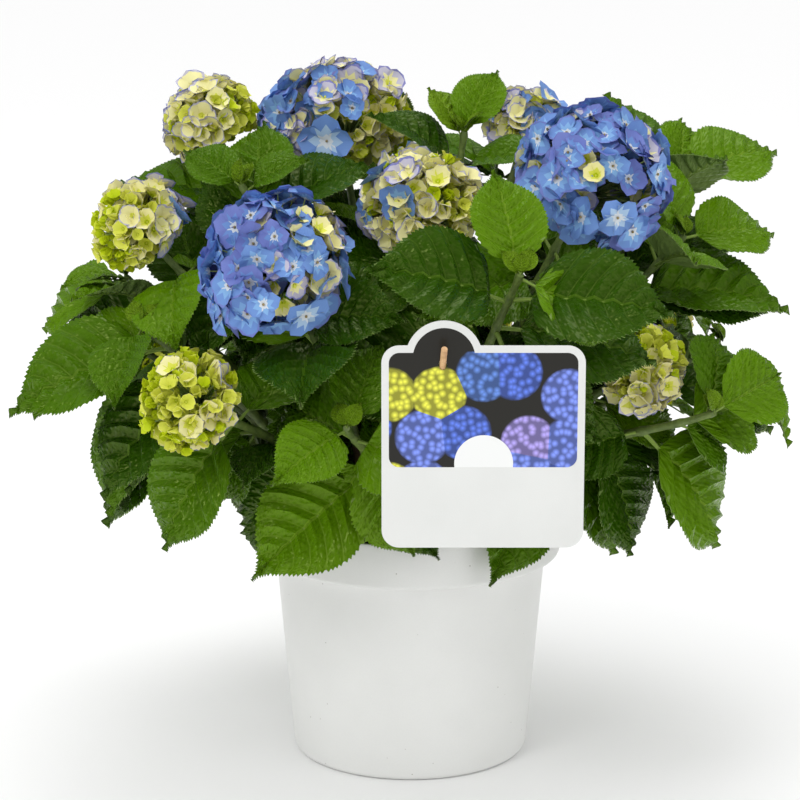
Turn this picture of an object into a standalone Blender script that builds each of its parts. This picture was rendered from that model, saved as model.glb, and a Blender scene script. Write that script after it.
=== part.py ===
"""A bigleaf hydrangea grown in a white nursery pot: pot, potting soil, bare stem feet, and one leafy
spray for each stem, with its flower head where the stem carries one. Metres, +Z up, the origin in
the middle of the pot's underside. The front of the plant is -Y."""

import math
import random

import bmesh
import bpy
from mathutils import Vector, noise
from mathutils.bvhtree import BVHTree

# The pot, a 5 litre nursery container with a deep collar.
POT_HEIGHT = 0.192
COLLAR_RADIUS = 0.115
COLLAR_FOOT = 0.157
NECK_RADIUS = 0.1038
BASE_RADIUS = 0.0905
BASE_ROUND = 0.005
WALL = 0.002
BASE_THICKNESS = 0.003
POT_STEPS = 44
DRAIN_HOLES = 8
DRAIN_RADIUS = 0.005
DRAIN_RING = 0.062

# The soil in it.
SOIL_TOP = 0.170
SOIL_GAP = 0.0005
SOIL_LEVEL_RADIUS = 0.078
SOIL_DIP = 0.004
SOIL_ROUGHNESS = 0.003

# The label card and the peg that it hangs on.
CARD_LEFT, CARD_RIGHT = -0.0205, 0.1165
CARD_FOOT, CARD_HEAD = 0.2285, 0.3690
CARD_FRONT = -0.2450
CARD_THICKNESS = 0.0010
CARD_CORNER = 0.0120
EAR_MIDDLE = 0.0215
EAR_RADIUS = 0.0260
EAR_CENTRE_HEIGHT = 0.3600
PEG_RADIUS = 0.0022
PEG_HOLE_RADIUS = 0.0028
PEG_FOOT = Vector((0.010, -0.050, 0.1735))
PEG_TIP = Vector((0.0215, -0.2600, 0.3700))

# What every stem shares.
GAP = 0.0003
FOOT_RING = 0.27
FOOT_RING_MOST = 0.066
FOOT_STRAY = 0.0016
STEM_CLEAR = 0.0010
STEM_RADIUS_FOOT = 0.0048
STEM_RADIUS_TIP = 0.0024
STEM_RINGS = 5
BOUGH_SIDES = 5
TWIG_SIDES = 4
SPREAD_CENTRE = Vector((0.0, 0.0, 0.17))
FIRST_NODE_BLOOM = 0.012
FIRST_NODE_SHOOT = 0.004
NODE_SPACING = (0.026, 0.032, 0.038, 0.042, 0.044, 0.044)
BARE_BELOW = 0.010

# What every leaf shares, its sizes as shares of its length and its slopes in degrees.
PETIOLE_SHARE = 0.14
PETIOLE_RADIUS = 0.0015
LEAF_WIDTH = 0.74
LEAF_THICKNESS = 0.016
LEAF_FOLD = math.radians(13)
LOWEST_LEAF = 0.150
BLADE_SECTIONS = ((0.24, 0.90), (0.62, 0.86))
LIGHT_CENTRE = Vector((0.0, 0.0, 0.24))
LIGHT_OUTWARD = 0.62
LIGHT_FROM = Vector((0.0, -0.34, 0.36))
TOP_DROOP = 44
OUTWARD_DROOP = 20
BLOOM_LEAVES = (0.78, 0.94, 1.0, 1.0, 0.94, 0.88)
SHOOT_LEAVES = (0.64, 0.86, 1.0, 1.0, 0.94, 0.88)
LOWER_SLOPES = (10, -4, -16, -26, -32)
LEAF_BEND = 42
STEEPEST = 84
SEARCH_TURNS = (0, 12, -12, 24, -24, 38, -38)
SEARCH_RISES = (0, 14, -14, 28, -28)
SEARCH_SIZES = (1.0, 0.84, 0.70)

# The flower heads.
BLOOM_HEIGHT = 0.90
BLOOM_UNDER = 0.62
FLORET_WIDTH = 0.026
FLORETS_LEAST = 14
FLORET_SPREAD = 0.74
FLORET_DISH = 0.90
FLORET_VALLEY = 0.80

# Each stem: where its tip is, the width of its flower head (0 for a leafy shoot), the compass
# direction of its first pair of leaves (0 is +X, 90 is +Y), the slope of that pair and how far the
# leaves below it are lifted (in degrees), its number of pairs, and the length of its longest leaves.
STEM_FIELDS = ("tip", "head", "turn", "top", "lift", "pairs", "leaf")
STEMS = {
    "front_shoot": ((0.074, -0.200, 0.409), 0, 290, 28, 10, 5, 0.128),
    "far_left_shoot": ((-0.214, -0.020, 0.374), 0, 190, 8, 26, 5, 0.130),
    "low_left_shoot": ((-0.200, -0.040, 0.322), 0, 188, 46, 4, 5, 0.146),
    "right_shoot": ((0.204, -0.020, 0.405), 0, 352, 62, 34, 5, 0.124),
    "right_high_shoot": ((0.208, 0.060, 0.438), 0, 80, 58, 46, 6, 0.122),
    "top_shoot": ((0.040, 0.000, 0.480), 0, 40, 50, 10, 6, 0.124),
    "left_high_shoot": ((-0.124, -0.050, 0.448), 0, 150, 46, 10, 6, 0.116),
    "blue_front_left": ((-0.093, -0.165, 0.408), 0.108, 200, 0, 0, 5, 0.122),
    "blue_right": ((0.128, -0.105, 0.460), 0.114, 300, 0, 0, 6, 0.126),
    "cream_middle": ((0.010, -0.065, 0.432), 0.098, 200, 8, 6, 6, 0.122),
    "blue_top": ((-0.054, 0.050, 0.474), 0.120, 60, 8, 6, 6, 0.120),
    "cream_top_left": ((-0.151, 0.035, 0.482), 0.080, 300, 16, 10, 6, 0.118),
    "cream_left": ((-0.198, -0.060, 0.417), 0.078, 240, 4, 0, 5, 0.122),
    "lime_low_left": ((-0.154, -0.175, 0.314), 0.080, 215, 0, 0, 4, 0.122),
    "low_right_shoot": ((0.216, -0.140, 0.298), 0, 352, 66, 0, 4, 0.130),
    "lime_low_right": ((0.164, -0.100, 0.322), 0.078, 320, 4, 0, 4, 0.124),
    "blue_top_right": ((0.091, 0.110, 0.467), 0.072, 20, 16, 10, 6, 0.118),
    "left_shoot": ((-0.196, -0.100, 0.353), 0, 240, 20, 0, 4, 0.122),
    "low_front_shoot": ((-0.045, -0.195, 0.300), 0, 230, 30, 0, 4, 0.118),
    "blue_back_left": ((-0.115, 0.190, 0.345), 0.110, 120, 0, 0, 5, 0.122),
    "blue_back_right": ((0.135, 0.185, 0.365), 0.112, 60, 0, 0, 5, 0.124),
    "cream_back": ((0.010, 0.215, 0.400), 0.094, 95, 0, 0, 5, 0.122),
    "lime_back_left": ((-0.200, 0.135, 0.295), 0.080, 160, 0, 0, 4, 0.120),
    "lime_back": ((0.050, 0.245, 0.295), 0.082, 80, 0, 0, 4, 0.120),
    "lime_back_right": ((0.195, 0.140, 0.295), 0.080, 30, 0, 0, 4, 0.120),
    "back_shoot": ((-0.020, 0.125, 0.450), 0, 90, 40, 10, 6, 0.120),
    "back_low_shoot": ((-0.100, 0.235, 0.290), 0, 100, 20, 0, 4, 0.122),
    "right_low_shoot": ((0.240, 0.040, 0.310), 0, 10, 30, 20, 4, 0.124),
}

# The leaves that are turned by hand, as a grower turns them to the front. For each stem and each
# pair (0 is the top one) and hand: the compass direction, the slope at the root, and the length.
TURNED_LEAVES = {
    "front_shoot": {
        (0, 0): (5, -25, 0.088),
        (0, 1): (125, 78, 0.085),
        (1, 0): (355, 12, 0.120),
        (1, 1): (215, 28, 0.112),
        (2, 0): (0, 0, 0.120),
    },
    "far_left_shoot": {
        (0, 0): (160, -15, 0.100),
        (0, 1): (228, 22, 0.062),
        (1, 1): (245, 30, 0.086),
    },
    "low_left_shoot": {
        (0, 0): (198, -10, 0.100),
        (1, 0): (205, -45, 0.125),
        (3, 1): (190, -48, 0.080),
    },
    "left_shoot": {
        (1, 0): (198, -5, 0.130),
        (2, 0): (205, -40, 0.110),
    },
    "left_high_shoot": {
        (0, 0): (165, 40, 0.060),
        (0, 1): (345, 44, 0.056),
        (1, 0): (140, 66, 0.090),
        (1, 1): (30, 42, 0.100),
        (2, 0): (190, -20, 0.115),
        (2, 1): (145, 36, 0.100),
    },
    "top_shoot": {
        (0, 0): (35, 65, 0.064),
        (0, 1): (150, 66, 0.052),
        (1, 0): (335, 28, 0.078),
        (1, 1): (185, 52, 0.085),
    },
    "cream_top_left": {(1, 0): (70, 62, 0.090)},
    "cream_left": {(1, 0): (125, 48, 0.100)},
    "blue_top": {
        (1, 0): (150, 48, 0.080),
        (1, 1): (65, 66, 0.100),
    },
    "cream_middle": {(1, 0): (155, 60, 0.100)},
    "blue_front_left": {(0, 0): (290, 20, 0.085)},
    "lime_low_left": {
        (0, 0): (200, -48, 0.113),
        (1, 0): (150, -50, 0.080),
        (2, 1): (245, 10, 0.075),
    },
    "low_front_shoot": {
        (2, 0): (325, -60, 0.090),
        (2, 1): (140, -60, 0.096),
        (3, 0): (220, -24, 0.125),
    },
    "right_high_shoot": {
        (0, 0): (20, 25, 0.100),
        (0, 1): (50, 54, 0.070),
        (1, 0): (105, 66, 0.110),
        (1, 1): (325, 50, 0.090),
    },
    "right_shoot": {
        (0, 0): (20, 12, 0.092),
        (2, 0): (350, 12, 0.126),
    },
    "low_right_shoot": {
        (0, 0): (30, 20, 0.090),
        (0, 1): (75, 48, 0.084),
        (1, 1): (35, -20, 0.085),
        (2, 0): (0, -43, 0.132),
        (2, 1): (215, 12, 0.085),
        (3, 0): (350, -60, 0.100),
    },
    "right_low_shoot": {(0, 0): (345, -33, 0.100)},
    "lime_low_right": {
        (1, 0): (325, -70, 0.132),
        (3, 0): (265, -24, 0.110),
    },
}


def clear_scene():
    for item in list(bpy.data.objects):
        bpy.data.objects.remove(item, do_unlink=True)


def finish(name, colour, roughness):
    """A Principled material of one colour."""
    material = bpy.data.materials.new(name)
    material.use_nodes = True
    shader = material.node_tree.nodes["Principled BSDF"]
    shader.inputs["Base Color"].default_value = (*colour, 1.0)
    shader.inputs["Roughness"].default_value = roughness
    return material


def add_object(name, points, faces, material):
    """A mesh object from corner points and faces."""
    mesh = bpy.data.meshes.new(name)
    mesh.from_pydata([tuple(p) for p in points], [], faces)
    mesh.materials.append(material)
    made = bpy.data.objects.new(name, mesh)
    bpy.context.scene.collection.objects.link(made)
    return made


def turned(name, profile, material):
    """A solid of revolution about +Z, spun from a profile that starts and ends on the axis."""
    shell = bmesh.new()
    points = [shell.verts.new((radius, 0.0, height)) for radius, height in profile]
    lines = [shell.edges.new(pair) for pair in zip(points, points[1:])]
    bmesh.ops.spin(
        shell,
        geom=points + lines,
        axis=(0.0, 0.0, 1.0),
        cent=(0.0, 0.0, 0.0),
        angle=2 * math.pi,
        steps=POT_STEPS,
        use_merge=True,
    )
    bmesh.ops.remove_doubles(shell, verts=shell.verts, dist=1e-6)
    bmesh.ops.recalc_face_normals(shell, faces=shell.faces)
    mesh = bpy.data.meshes.new(name)
    shell.to_mesh(mesh)
    shell.free()
    mesh.materials.append(material)
    mesh.shade_smooth()
    mesh.set_sharp_from_angle(angle=math.radians(35))
    made = bpy.data.objects.new(name, mesh)
    bpy.context.scene.collection.objects.link(made)
    return made


def boolean(target, others, operation):
    """Applies one Boolean of a collection of objects to the target, then removes the objects."""
    modifier = target.modifiers.new("Join", "BOOLEAN")
    modifier.operation = operation
    modifier.operand_type = "COLLECTION"
    modifier.collection = others
    modifier.solver = "EXACT"
    modifier.material_mode = "TRANSFER"
    with bpy.context.temp_override(object=target, active_object=target):
        bpy.ops.object.modifier_apply(modifier=modifier.name)
    for item in list(others.objects):
        bpy.data.objects.remove(item, do_unlink=True)
    bpy.data.collections.remove(others)


def group_of(items):
    """A collection that holds only these objects."""
    group = bpy.data.collections.new("pieces")
    bpy.context.scene.collection.children.link(group)
    for item in items:
        for holder in list(item.users_collection):
            holder.objects.unlink(item)
        group.objects.link(item)
    return group


def pot_profile():
    """The pot's section, from the middle of its underside out, up and back down the inside."""
    outer = [(0.0, 0.0), (BASE_RADIUS - BASE_ROUND, 0.0)]
    outer.append((BASE_RADIUS - 0.3 * BASE_ROUND, 0.3 * BASE_ROUND))
    outer.append((BASE_RADIUS, BASE_ROUND))
    outer.append((NECK_RADIUS, COLLAR_FOOT))
    collar = [
        (COLLAR_RADIUS, COLLAR_FOOT),
        (COLLAR_RADIUS + 0.0012, POT_HEIGHT - 0.002),
        (COLLAR_RADIUS, POT_HEIGHT),
        (COLLAR_RADIUS - WALL, POT_HEIGHT),
        (COLLAR_RADIUS - WALL, COLLAR_FOOT + WALL),
    ]
    inner = [
        (NECK_RADIUS - WALL, COLLAR_FOOT + WALL),
        (BASE_RADIUS - WALL, BASE_THICKNESS),
        (0.0, BASE_THICKNESS),
    ]
    return outer + collar + inner


def make_pot():
    pot = turned("pot", pot_profile(), finish("white_plastic", (0.86, 0.87, 0.85), 0.35))
    cutters = []
    for index in range(DRAIN_HOLES):
        angle = 2 * math.pi * (index + 0.5) / DRAIN_HOLES
        place = (DRAIN_RING * math.cos(angle), DRAIN_RING * math.sin(angle), 0.0)
        bpy.ops.mesh.primitive_cylinder_add(vertices=8, radius=DRAIN_RADIUS, depth=0.02, location=place)
        cutters.append(bpy.context.object)
    boolean(pot, group_of(cutters), "DIFFERENCE")
    return pot


def make_soil():
    """The soil fills the pot but for a small gap: level round the stems, lower and lumpy at the wall."""
    inside = COLLAR_RADIUS - WALL - SOIL_GAP
    ledge = COLLAR_FOOT + WALL + SOIL_GAP
    profile = [(0.0, BASE_THICKNESS + SOIL_GAP)]
    profile.append((BASE_RADIUS - WALL - SOIL_GAP, BASE_THICKNESS + SOIL_GAP))
    profile.append((NECK_RADIUS - WALL - SOIL_GAP, ledge))
    profile.append((inside, ledge))
    profile.append((inside, SOIL_TOP - SOIL_DIP))
    profile.append((0.5 * (inside + SOIL_LEVEL_RADIUS), SOIL_TOP - SOIL_DIP))
    profile.append((SOIL_LEVEL_RADIUS, SOIL_TOP))
    profile.append((0.0, SOIL_TOP))
    soil = turned("soil", profile, finish("potting_soil", (0.05, 0.03, 0.02), 0.95))
    for vertex in soil.data.vertices:
        if ledge + 0.001 < vertex.co.z < SOIL_TOP - 0.001:
            vertex.co.z += SOIL_ROUGHNESS * noise.noise(vertex.co * 60)
    return soil


def card_outline():
    """The label's outline in x and z: a rounded rectangle with a round ear on its upper edge."""
    def arc(middle, radius, start, end, steps):
        for step in range(steps + 1):
            angle = math.radians(start + (end - start) * step / steps)
            yield (middle[0] + radius * math.cos(angle), middle[1] + radius * math.sin(angle))

    inset = CARD_CORNER
    left, right = CARD_LEFT + inset, CARD_RIGHT - inset
    foot, head = CARD_FOOT + inset, CARD_HEAD - inset
    rise = math.degrees(math.asin((CARD_HEAD - EAR_CENTRE_HEIGHT) / EAR_RADIUS))
    points = list(arc((right, foot), inset, -90, 0, 4))
    points += arc((right, head), inset, 0, 90, 4)
    points += arc((EAR_MIDDLE, EAR_CENTRE_HEIGHT), EAR_RADIUS, rise, 180 - rise, 8)
    points += arc((left, head), inset, 90, 180, 4)
    points += arc((left, foot), inset, 180, 270, 4)
    return points


def make_label():
    card_finish = finish("card", (0.9, 0.9, 0.88), 0.4)
    outline = card_outline()
    count = len(outline)
    points = [Vector((x, CARD_FRONT, z)) for x, z in outline]
    points += [Vector((x, CARD_FRONT + CARD_THICKNESS, z)) for x, z in outline]
    faces = [tuple(range(count)), tuple(reversed(range(count, 2 * count)))]
    for index in range(count):
        after = (index + 1) % count
        faces.append((index, index + count, after + count, after))
    card = add_object("label_card", points, faces, card_finish)
    direction = (PEG_TIP - PEG_FOOT).normalized()
    reach = [PEG_TIP - direction * 0.04, PEG_TIP + direction * 0.02]
    hole = add_object("hole", *tube(reach, [direction] * 2, [PEG_HOLE_RADIUS] * 2, 12), card_finish)
    boolean(card, group_of([hole]), "DIFFERENCE")
    rod = tube([PEG_FOOT, PEG_TIP], [direction] * 2, [PEG_RADIUS] * 2, 10)
    peg = add_object("label_peg", *rod, finish("cane", (0.62, 0.42, 0.2), 0.6))
    return card, peg


def tube(path, ways, radii, sides):
    """A round limb through the points of a path, square to the way it runs at each of them.

    Gives its points and faces, closed at both ends."""
    points, faces = [], []
    side = Vector((1, 0, 0))
    for centre, way, radius in zip(path, ways, radii):
        along = way.normalized()
        side = (side - along * side.dot(along)).normalized()
        across = along.cross(side)
        for step in range(sides):
            angle = 2 * math.pi * step / sides
            points.append(centre + (side * math.cos(angle) + across * math.sin(angle)) * radius)
    faces.append(tuple(reversed(range(sides))))
    for ring in range(len(path) - 1):
        for step in range(sides):
            low, next_low = ring * sides + step, ring * sides + (step + 1) % sides
            faces.append((low, next_low, next_low + sides, low + sides))
    last = (len(path) - 1) * sides
    faces.append(tuple(range(last, last + sides)))
    return points, faces


class Stem:
    """One stem from the soil to its tip, as a smooth curve, and what it carries."""

    def __init__(self, name):
        plan = dict(zip(STEM_FIELDS, STEMS[name]))
        self.name = name
        self.tip = Vector(plan["tip"])
        self.bloom = plan["head"]
        self.turn = plan["turn"]
        self.top = plan["top"]
        self.lift = plan["lift"]
        self.pairs = plan["pairs"]
        self.leaf = plan["leaf"]
        self.turned = TURNED_LEAVES.get(name, {})
        self.facing = (self.tip - SPREAD_CENTRE).normalized()
        flat = Vector((self.tip.x, self.tip.y, 0.0))
        self.plant(flat.normalized() * min(flat.length * FOOT_RING, FOOT_RING_MOST))

    def plant(self, foot):
        """Sets the foot of the stem, and the curve that rises from it."""
        self.foot = Vector((foot.x, foot.y, SOIL_TOP + GAP))
        reach = (self.tip - self.foot).length
        self.pull_foot = self.foot + Vector((foot.x * 0.5, foot.y * 0.5, reach * 0.42))
        self.pull_tip = self.tip - self.facing * reach * 0.30
        self.samples = [self.point(step / 64) for step in range(65)]

    def point(self, share):
        rest = 1.0 - share
        return (
            self.foot * rest**3
            + self.pull_foot * (3 * rest**2 * share)
            + self.pull_tip * (3 * rest * share**2)
            + self.tip * share**3
        )

    def way(self, share):
        """The direction in which the curve runs."""
        rest = 1.0 - share
        return (
            (self.pull_foot - self.foot) * rest**2
            + (self.pull_tip - self.pull_foot) * (2 * rest * share)
            + (self.tip - self.pull_tip) * share**2
        )

    def below_tip(self, distance):
        """The share of the curve that lies this far from the tip, measured along it."""
        left = distance
        for step in range(64, 0, -1):
            span = (self.samples[step] - self.samples[step - 1]).length
            if left <= span:
                return (step - left / span) / 64
            left -= span
        return 0.0

    def radius(self, share):
        return STEM_RADIUS_FOOT + (STEM_RADIUS_TIP - STEM_RADIUS_FOOT) * share

    def node_depths(self):
        """How far below the tip each pair of leaves stands."""
        depth = self.bloom * BLOOM_HEIGHT / 2 + FIRST_NODE_BLOOM if self.bloom else FIRST_NODE_SHOOT
        depths = []
        for pair in range(self.pairs):
            depths.append(depth)
            depth += NODE_SPACING[pair]
        return depths

    def limb(self, start, end, sides, extra=0.0):
        """The stem between two shares of its curve."""
        shares = [start + (end - start) * step / STEM_RINGS for step in range(STEM_RINGS + 1)]
        path = [self.point(share) for share in shares]
        ways = [self.way(share) for share in shares]
        return tube(path, ways, [self.radius(share) + extra for share in shares], sides)

    def bare_part(self):
        """The stem below the leaves, with a level cut at the soil."""
        end = self.below_tip(self.node_depths()[-1] + BARE_BELOW + GAP)
        points, faces = self.limb(0.0, end, BOUGH_SIDES)
        for point in points[:BOUGH_SIDES]:
            point.z = self.foot.z
        return points, faces

    def leafy_part(self):
        """The stem among the leaves, clear of the end of the bare part."""
        start = self.below_tip(self.node_depths()[-1] + BARE_BELOW)
        return self.limb(start, 1.0, TWIG_SIDES)


def settle_feet(stems, heads):
    """Moves each foot on a small spiral until its stem is clear of the other stems and flower heads."""
    settled = []
    golden = math.pi * (3 - math.sqrt(5))
    for stem in stems:
        wanted = stem.foot.copy()
        others = settled + [BVHTree.FromPolygons(*head) for name, head in heads.items() if name != stem.name]
        for step in range(200):
            away = FOOT_STRAY * math.sqrt(step)
            shift = Vector((away * math.cos(golden * step), away * math.sin(golden * step), 0.0))
            stem.plant(wanted + shift)
            tree = BVHTree.FromPolygons(*stem.limb(0.0, 1.0, BOUGH_SIDES, STEM_CLEAR))
            if not any(tree.overlap(other) for other in others):
                break
        settled.append(tree)


class Leaf:
    """One leaf, a stalk and a blade that bends down along its length and faces the light."""

    def __init__(self, root, turn, rise, length):
        self.root = root
        self.length = length
        turn, rise = math.radians(turn), math.radians(rise)
        flat = Vector((math.cos(turn), math.sin(turn), 0.0))
        self.along = flat * math.cos(rise) + Vector((0.0, 0.0, math.sin(rise)))
        light = (root - LIGHT_CENTRE).normalized() * LIGHT_OUTWARD + LIGHT_FROM
        self.up = (light - self.along * light.dot(self.along)).normalized()
        self.side = self.along.cross(self.up)

    def frame(self, share):
        """Place, side and upper normal at a share of the leaf's length."""
        bend = math.radians(LEAF_BEND)
        sine, cosine = math.sin(bend * share), math.cos(bend * share)
        place = self.root + (self.along * sine - self.up * (1 - cosine)) * (self.length / bend)
        return place, self.side, self.up * cosine + self.along * sine

    def solid(self):
        """A closed, folded blade on a three-sided stalk: its points and faces."""
        points = []
        for share in (0.0, PETIOLE_SHARE):
            place, side, normal = self.frame(share)
            points += [
                place + side * PETIOLE_RADIUS + normal * PETIOLE_RADIUS * 0.5,
                place - side * PETIOLE_RADIUS + normal * PETIOLE_RADIUS * 0.5,
                place - normal * PETIOLE_RADIUS,
            ]
        blade = 1 - PETIOLE_SHARE
        for share, wide in BLADE_SECTIONS:
            place, side, normal = self.frame(PETIOLE_SHARE + blade * share)
            half = 0.5 * LEAF_WIDTH * blade * self.length * wide
            lift = normal * half * math.tan(LEAF_FOLD)
            thick = normal * LEAF_THICKNESS * self.length
            points += [place + side * half + lift, place - side * half + lift, place, place - thick]
        points.append(self.frame(1.0)[0])
        faces = [(0, 1, 2), (0, 3, 4, 1), (1, 4, 5, 2), (2, 5, 3, 0)]
        faces += [(3, 6, 8), (3, 8, 4), (4, 8, 7), (4, 7, 9), (4, 9, 5), (5, 9, 3), (3, 9, 6)]
        faces += [(6, 10, 12, 8), (8, 12, 11, 7), (7, 11, 13, 9), (9, 13, 10, 6)]
        faces += [(10, 14, 12), (12, 14, 11), (11, 14, 13), (13, 14, 10)]
        return points, faces

    def blade_tree(self):
        """The blade alone, for the test against the other blades of its own stem."""
        points, faces = self.solid()
        return BVHTree.FromPolygons(points, [face for face in faces if min(face) > 5])


def floret_head(stem):
    """A flower head as one closed skin: a dished floret round each point, with valleys between."""
    draw = random.Random(stem.name + " florets")
    hull = bmesh.new()
    florets = max(FLORETS_LEAST, round((stem.bloom / FLORET_WIDTH) ** 2))
    golden = math.pi * (3 - math.sqrt(5))
    for index in range(florets):
        height = 1 - 2 * (index + 0.5) / florets
        ring = math.sqrt(1 - height * height)
        angle = golden * index + draw.uniform(-0.12, 0.12)
        hull.verts.new((ring * math.cos(angle), ring * math.sin(angle), height))
    bmesh.ops.convex_hull(hull, input=hull.verts)
    hull.faces.ensure_lookup_table()
    turn = stem.facing.to_track_quat("Z", "Y")

    def placed(direction, share):
        flat = direction.normalized() * share * stem.bloom / 2
        flat.z *= BLOOM_HEIGHT * (BLOOM_UNDER if flat.z < 0 else 1.0)
        return stem.tip + turn @ flat

    points = [placed(face.calc_center_median(), FLORET_VALLEY) for face in hull.faces]
    faces = []
    for vertex in hull.verts:
        size = draw.uniform(0.95, 1.03)
        ring, loop = [], vertex.link_loops[0]
        while loop.face not in ring:
            ring.append(loop.face)
            loop = loop.link_loop_prev.link_loop_radial_next
        middle = len(points)
        points.append(placed(vertex.co, FLORET_DISH * size))
        for face in ring:
            way = vertex.co.lerp(face.calc_center_median(), FLORET_SPREAD)
            points.append(placed(way, size))
        for index, face in enumerate(ring):
            after = (index + 1) % len(ring)
            here, there = middle + 1 + index, middle + 1 + after
            faces.append((middle, here, there))
            faces.append((here, face.index, ring[after].index, there))
    hull.free()
    return points, faces


def outward(points, faces):
    """The same skin with every face turned outwards."""
    mesh = bmesh.new()
    corners = [mesh.verts.new(p) for p in points]
    for face in faces:
        mesh.faces.new([corners[index] for index in face])
    bmesh.ops.recalc_face_normals(mesh, faces=mesh.faces)
    mesh.verts.index_update()
    turned_faces = [tuple(v.index for v in face.verts) for face in mesh.faces]
    mesh.free()
    return points, turned_faces


class Space:
    """The room that is already taken, which new leaves have to keep clear of."""

    def __init__(self):
        self.taken = []
        self.blades = []
        self.blooms = []

    def add(self, owner, points, faces):
        self.taken.append((owner, BVHTree.FromPolygons(points, faces)))

    def add_object(self, item):
        points = [item.matrix_world @ vertex.co for vertex in item.data.vertices]
        self.add(item.name, points, [tuple(face.vertices) for face in item.data.polygons])

    def add_leaf(self, owner, leaf):
        self.add(owner, *leaf.solid())
        self.blades.append((owner, leaf.blade_tree()))

    def clear(self, owner, leaf):
        points, faces = leaf.solid()
        if min(point.z for point in points) < LOWEST_LEAF:
            return False
        for stem in self.blooms:
            if any((point - stem.tip).length < stem.bloom * 0.5 for point in points[3:]):
                return False
        tree = BVHTree.FromPolygons(points, faces)
        if any(name != owner and tree.overlap(other) for name, other in self.taken):
            return False
        blade = leaf.blade_tree()
        return not any(name == owner and blade.overlap(other) for name, other in self.blades)


def leaf_of(stem, pair, hand, turn, rise, size):
    """The leaf on one hand (0 or 1) of a pair, turned and raised from its usual way, and resized."""
    sizes = BLOOM_LEAVES if stem.bloom else SHOOT_LEAVES
    root = stem.point(stem.below_tip(stem.node_depths()[pair] + 0.003 * hand))
    if (pair, hand) in stem.turned:
        azimuth, slope, length = stem.turned[pair, hand]
        return Leaf(root, azimuth + turn, slope + rise, length * size)
    azimuth = stem.turn + 90 * pair + 180 * hand + turn
    way = Vector((math.cos(math.radians(azimuth)), math.sin(math.radians(azimuth))))
    outwardness = way.dot(root.xy) / max(root.xy.length, 0.1)
    if pair == 0:
        slope = stem.top - TOP_DROOP * outwardness
    else:
        slope = LOWER_SLOPES[pair - 1] + stem.lift - OUTWARD_DROOP * outwardness
    return Leaf(root, azimuth, min(slope + rise, STEEPEST), stem.leaf * sizes[pair] * size)


def grow_leaves(stems, space):
    """Gives every stem its pairs of leaves: the hand-turned ones first, then pair by pair downwards."""
    grown = {stem.name: [] for stem in stems}
    draws = {stem.name: random.Random(stem.name + " leaves") for stem in stems}
    places = [
        (stem, pair, hand)
        for pair in range(max(stem.pairs for stem in stems))
        for stem in stems
        for hand in (0, 1)
        if pair < stem.pairs
    ]
    for stem, pair, hand in sorted(places, key=lambda place: place[1:] not in place[0].turned):
        sway = nod = 0.0
        if (pair, hand) not in stem.turned:
            sway = draws[stem.name].uniform(-8, 8)
            nod = draws[stem.name].uniform(-8, 8)
        found = first_clear(stem, pair, hand, sway, nod, space)
        if found:
            grown[stem.name].append(found)
            space.add_leaf(stem.name, found)
    return grown


def first_clear(stem, pair, hand, sway, nod, space):
    """The first of the ways a leaf may turn in which it keeps clear of everything, if there is one."""
    for size in SEARCH_SIZES:
        for rise in SEARCH_RISES:
            for turn in SEARCH_TURNS:
                leaf = leaf_of(stem, pair, hand, turn + sway, rise + nod, size)
                if space.clear(stem.name, leaf):
                    return leaf
    return None


def make_spray(stem, leaves, head, green, petals):
    """One leafy spray: its stem, its leaves and its flower head, joined into one solid."""
    spray = add_object("spray_" + stem.name, *stem.leafy_part(), green)
    pieces = [add_object("leaf", *outward(*leaf.solid()), green) for leaf in leaves]
    if head:
        pieces.append(add_object("bloom", *outward(*head), petals))
    if pieces:
        boolean(spray, group_of(pieces), "UNION")
    return spray


clear_scene()
space = Space()
for item in (make_pot(), make_soil(), *make_label()):
    space.add_object(item)
bark = finish("stem_green_brown", (0.28, 0.30, 0.12), 0.7)
leaf_green = finish("leaf_green", (0.08, 0.22, 0.03), 0.45)
petal_finishes = {
    "blue": finish("petal_blue", (0.20, 0.32, 0.75), 0.6),
    "cream": finish("petal_cream", (0.72, 0.76, 0.45), 0.6),
    "lime": finish("petal_lime", (0.60, 0.70, 0.15), 0.6),
}
stems = [Stem(name) for name in STEMS]
heads = {stem.name: floret_head(stem) for stem in stems if stem.bloom}
settle_feet(stems, heads)
for stem in stems:
    add_object("stem_" + stem.name, *stem.bare_part(), bark)
    space.add("stem_" + stem.name, *stem.bare_part())
    space.add(stem.name, *stem.leafy_part())
    if stem.bloom:
        space.add(stem.name, *heads[stem.name])
        space.blooms.append(stem)
grown = grow_leaves(stems, space)
for stem in stems:
    petals = petal_finishes.get(stem.name.split("_")[0], leaf_green)
    make_spray(stem, grown[stem.name], heads.get(stem.name), leaf_green, petals)
print("leaves", sum(len(leaves) for leaves in grown.values()))
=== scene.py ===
import math
import random

import bmesh
import bpy
import numpy as np
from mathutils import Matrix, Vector, noise
from mathutils.bvhtree import BVHTree


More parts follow.
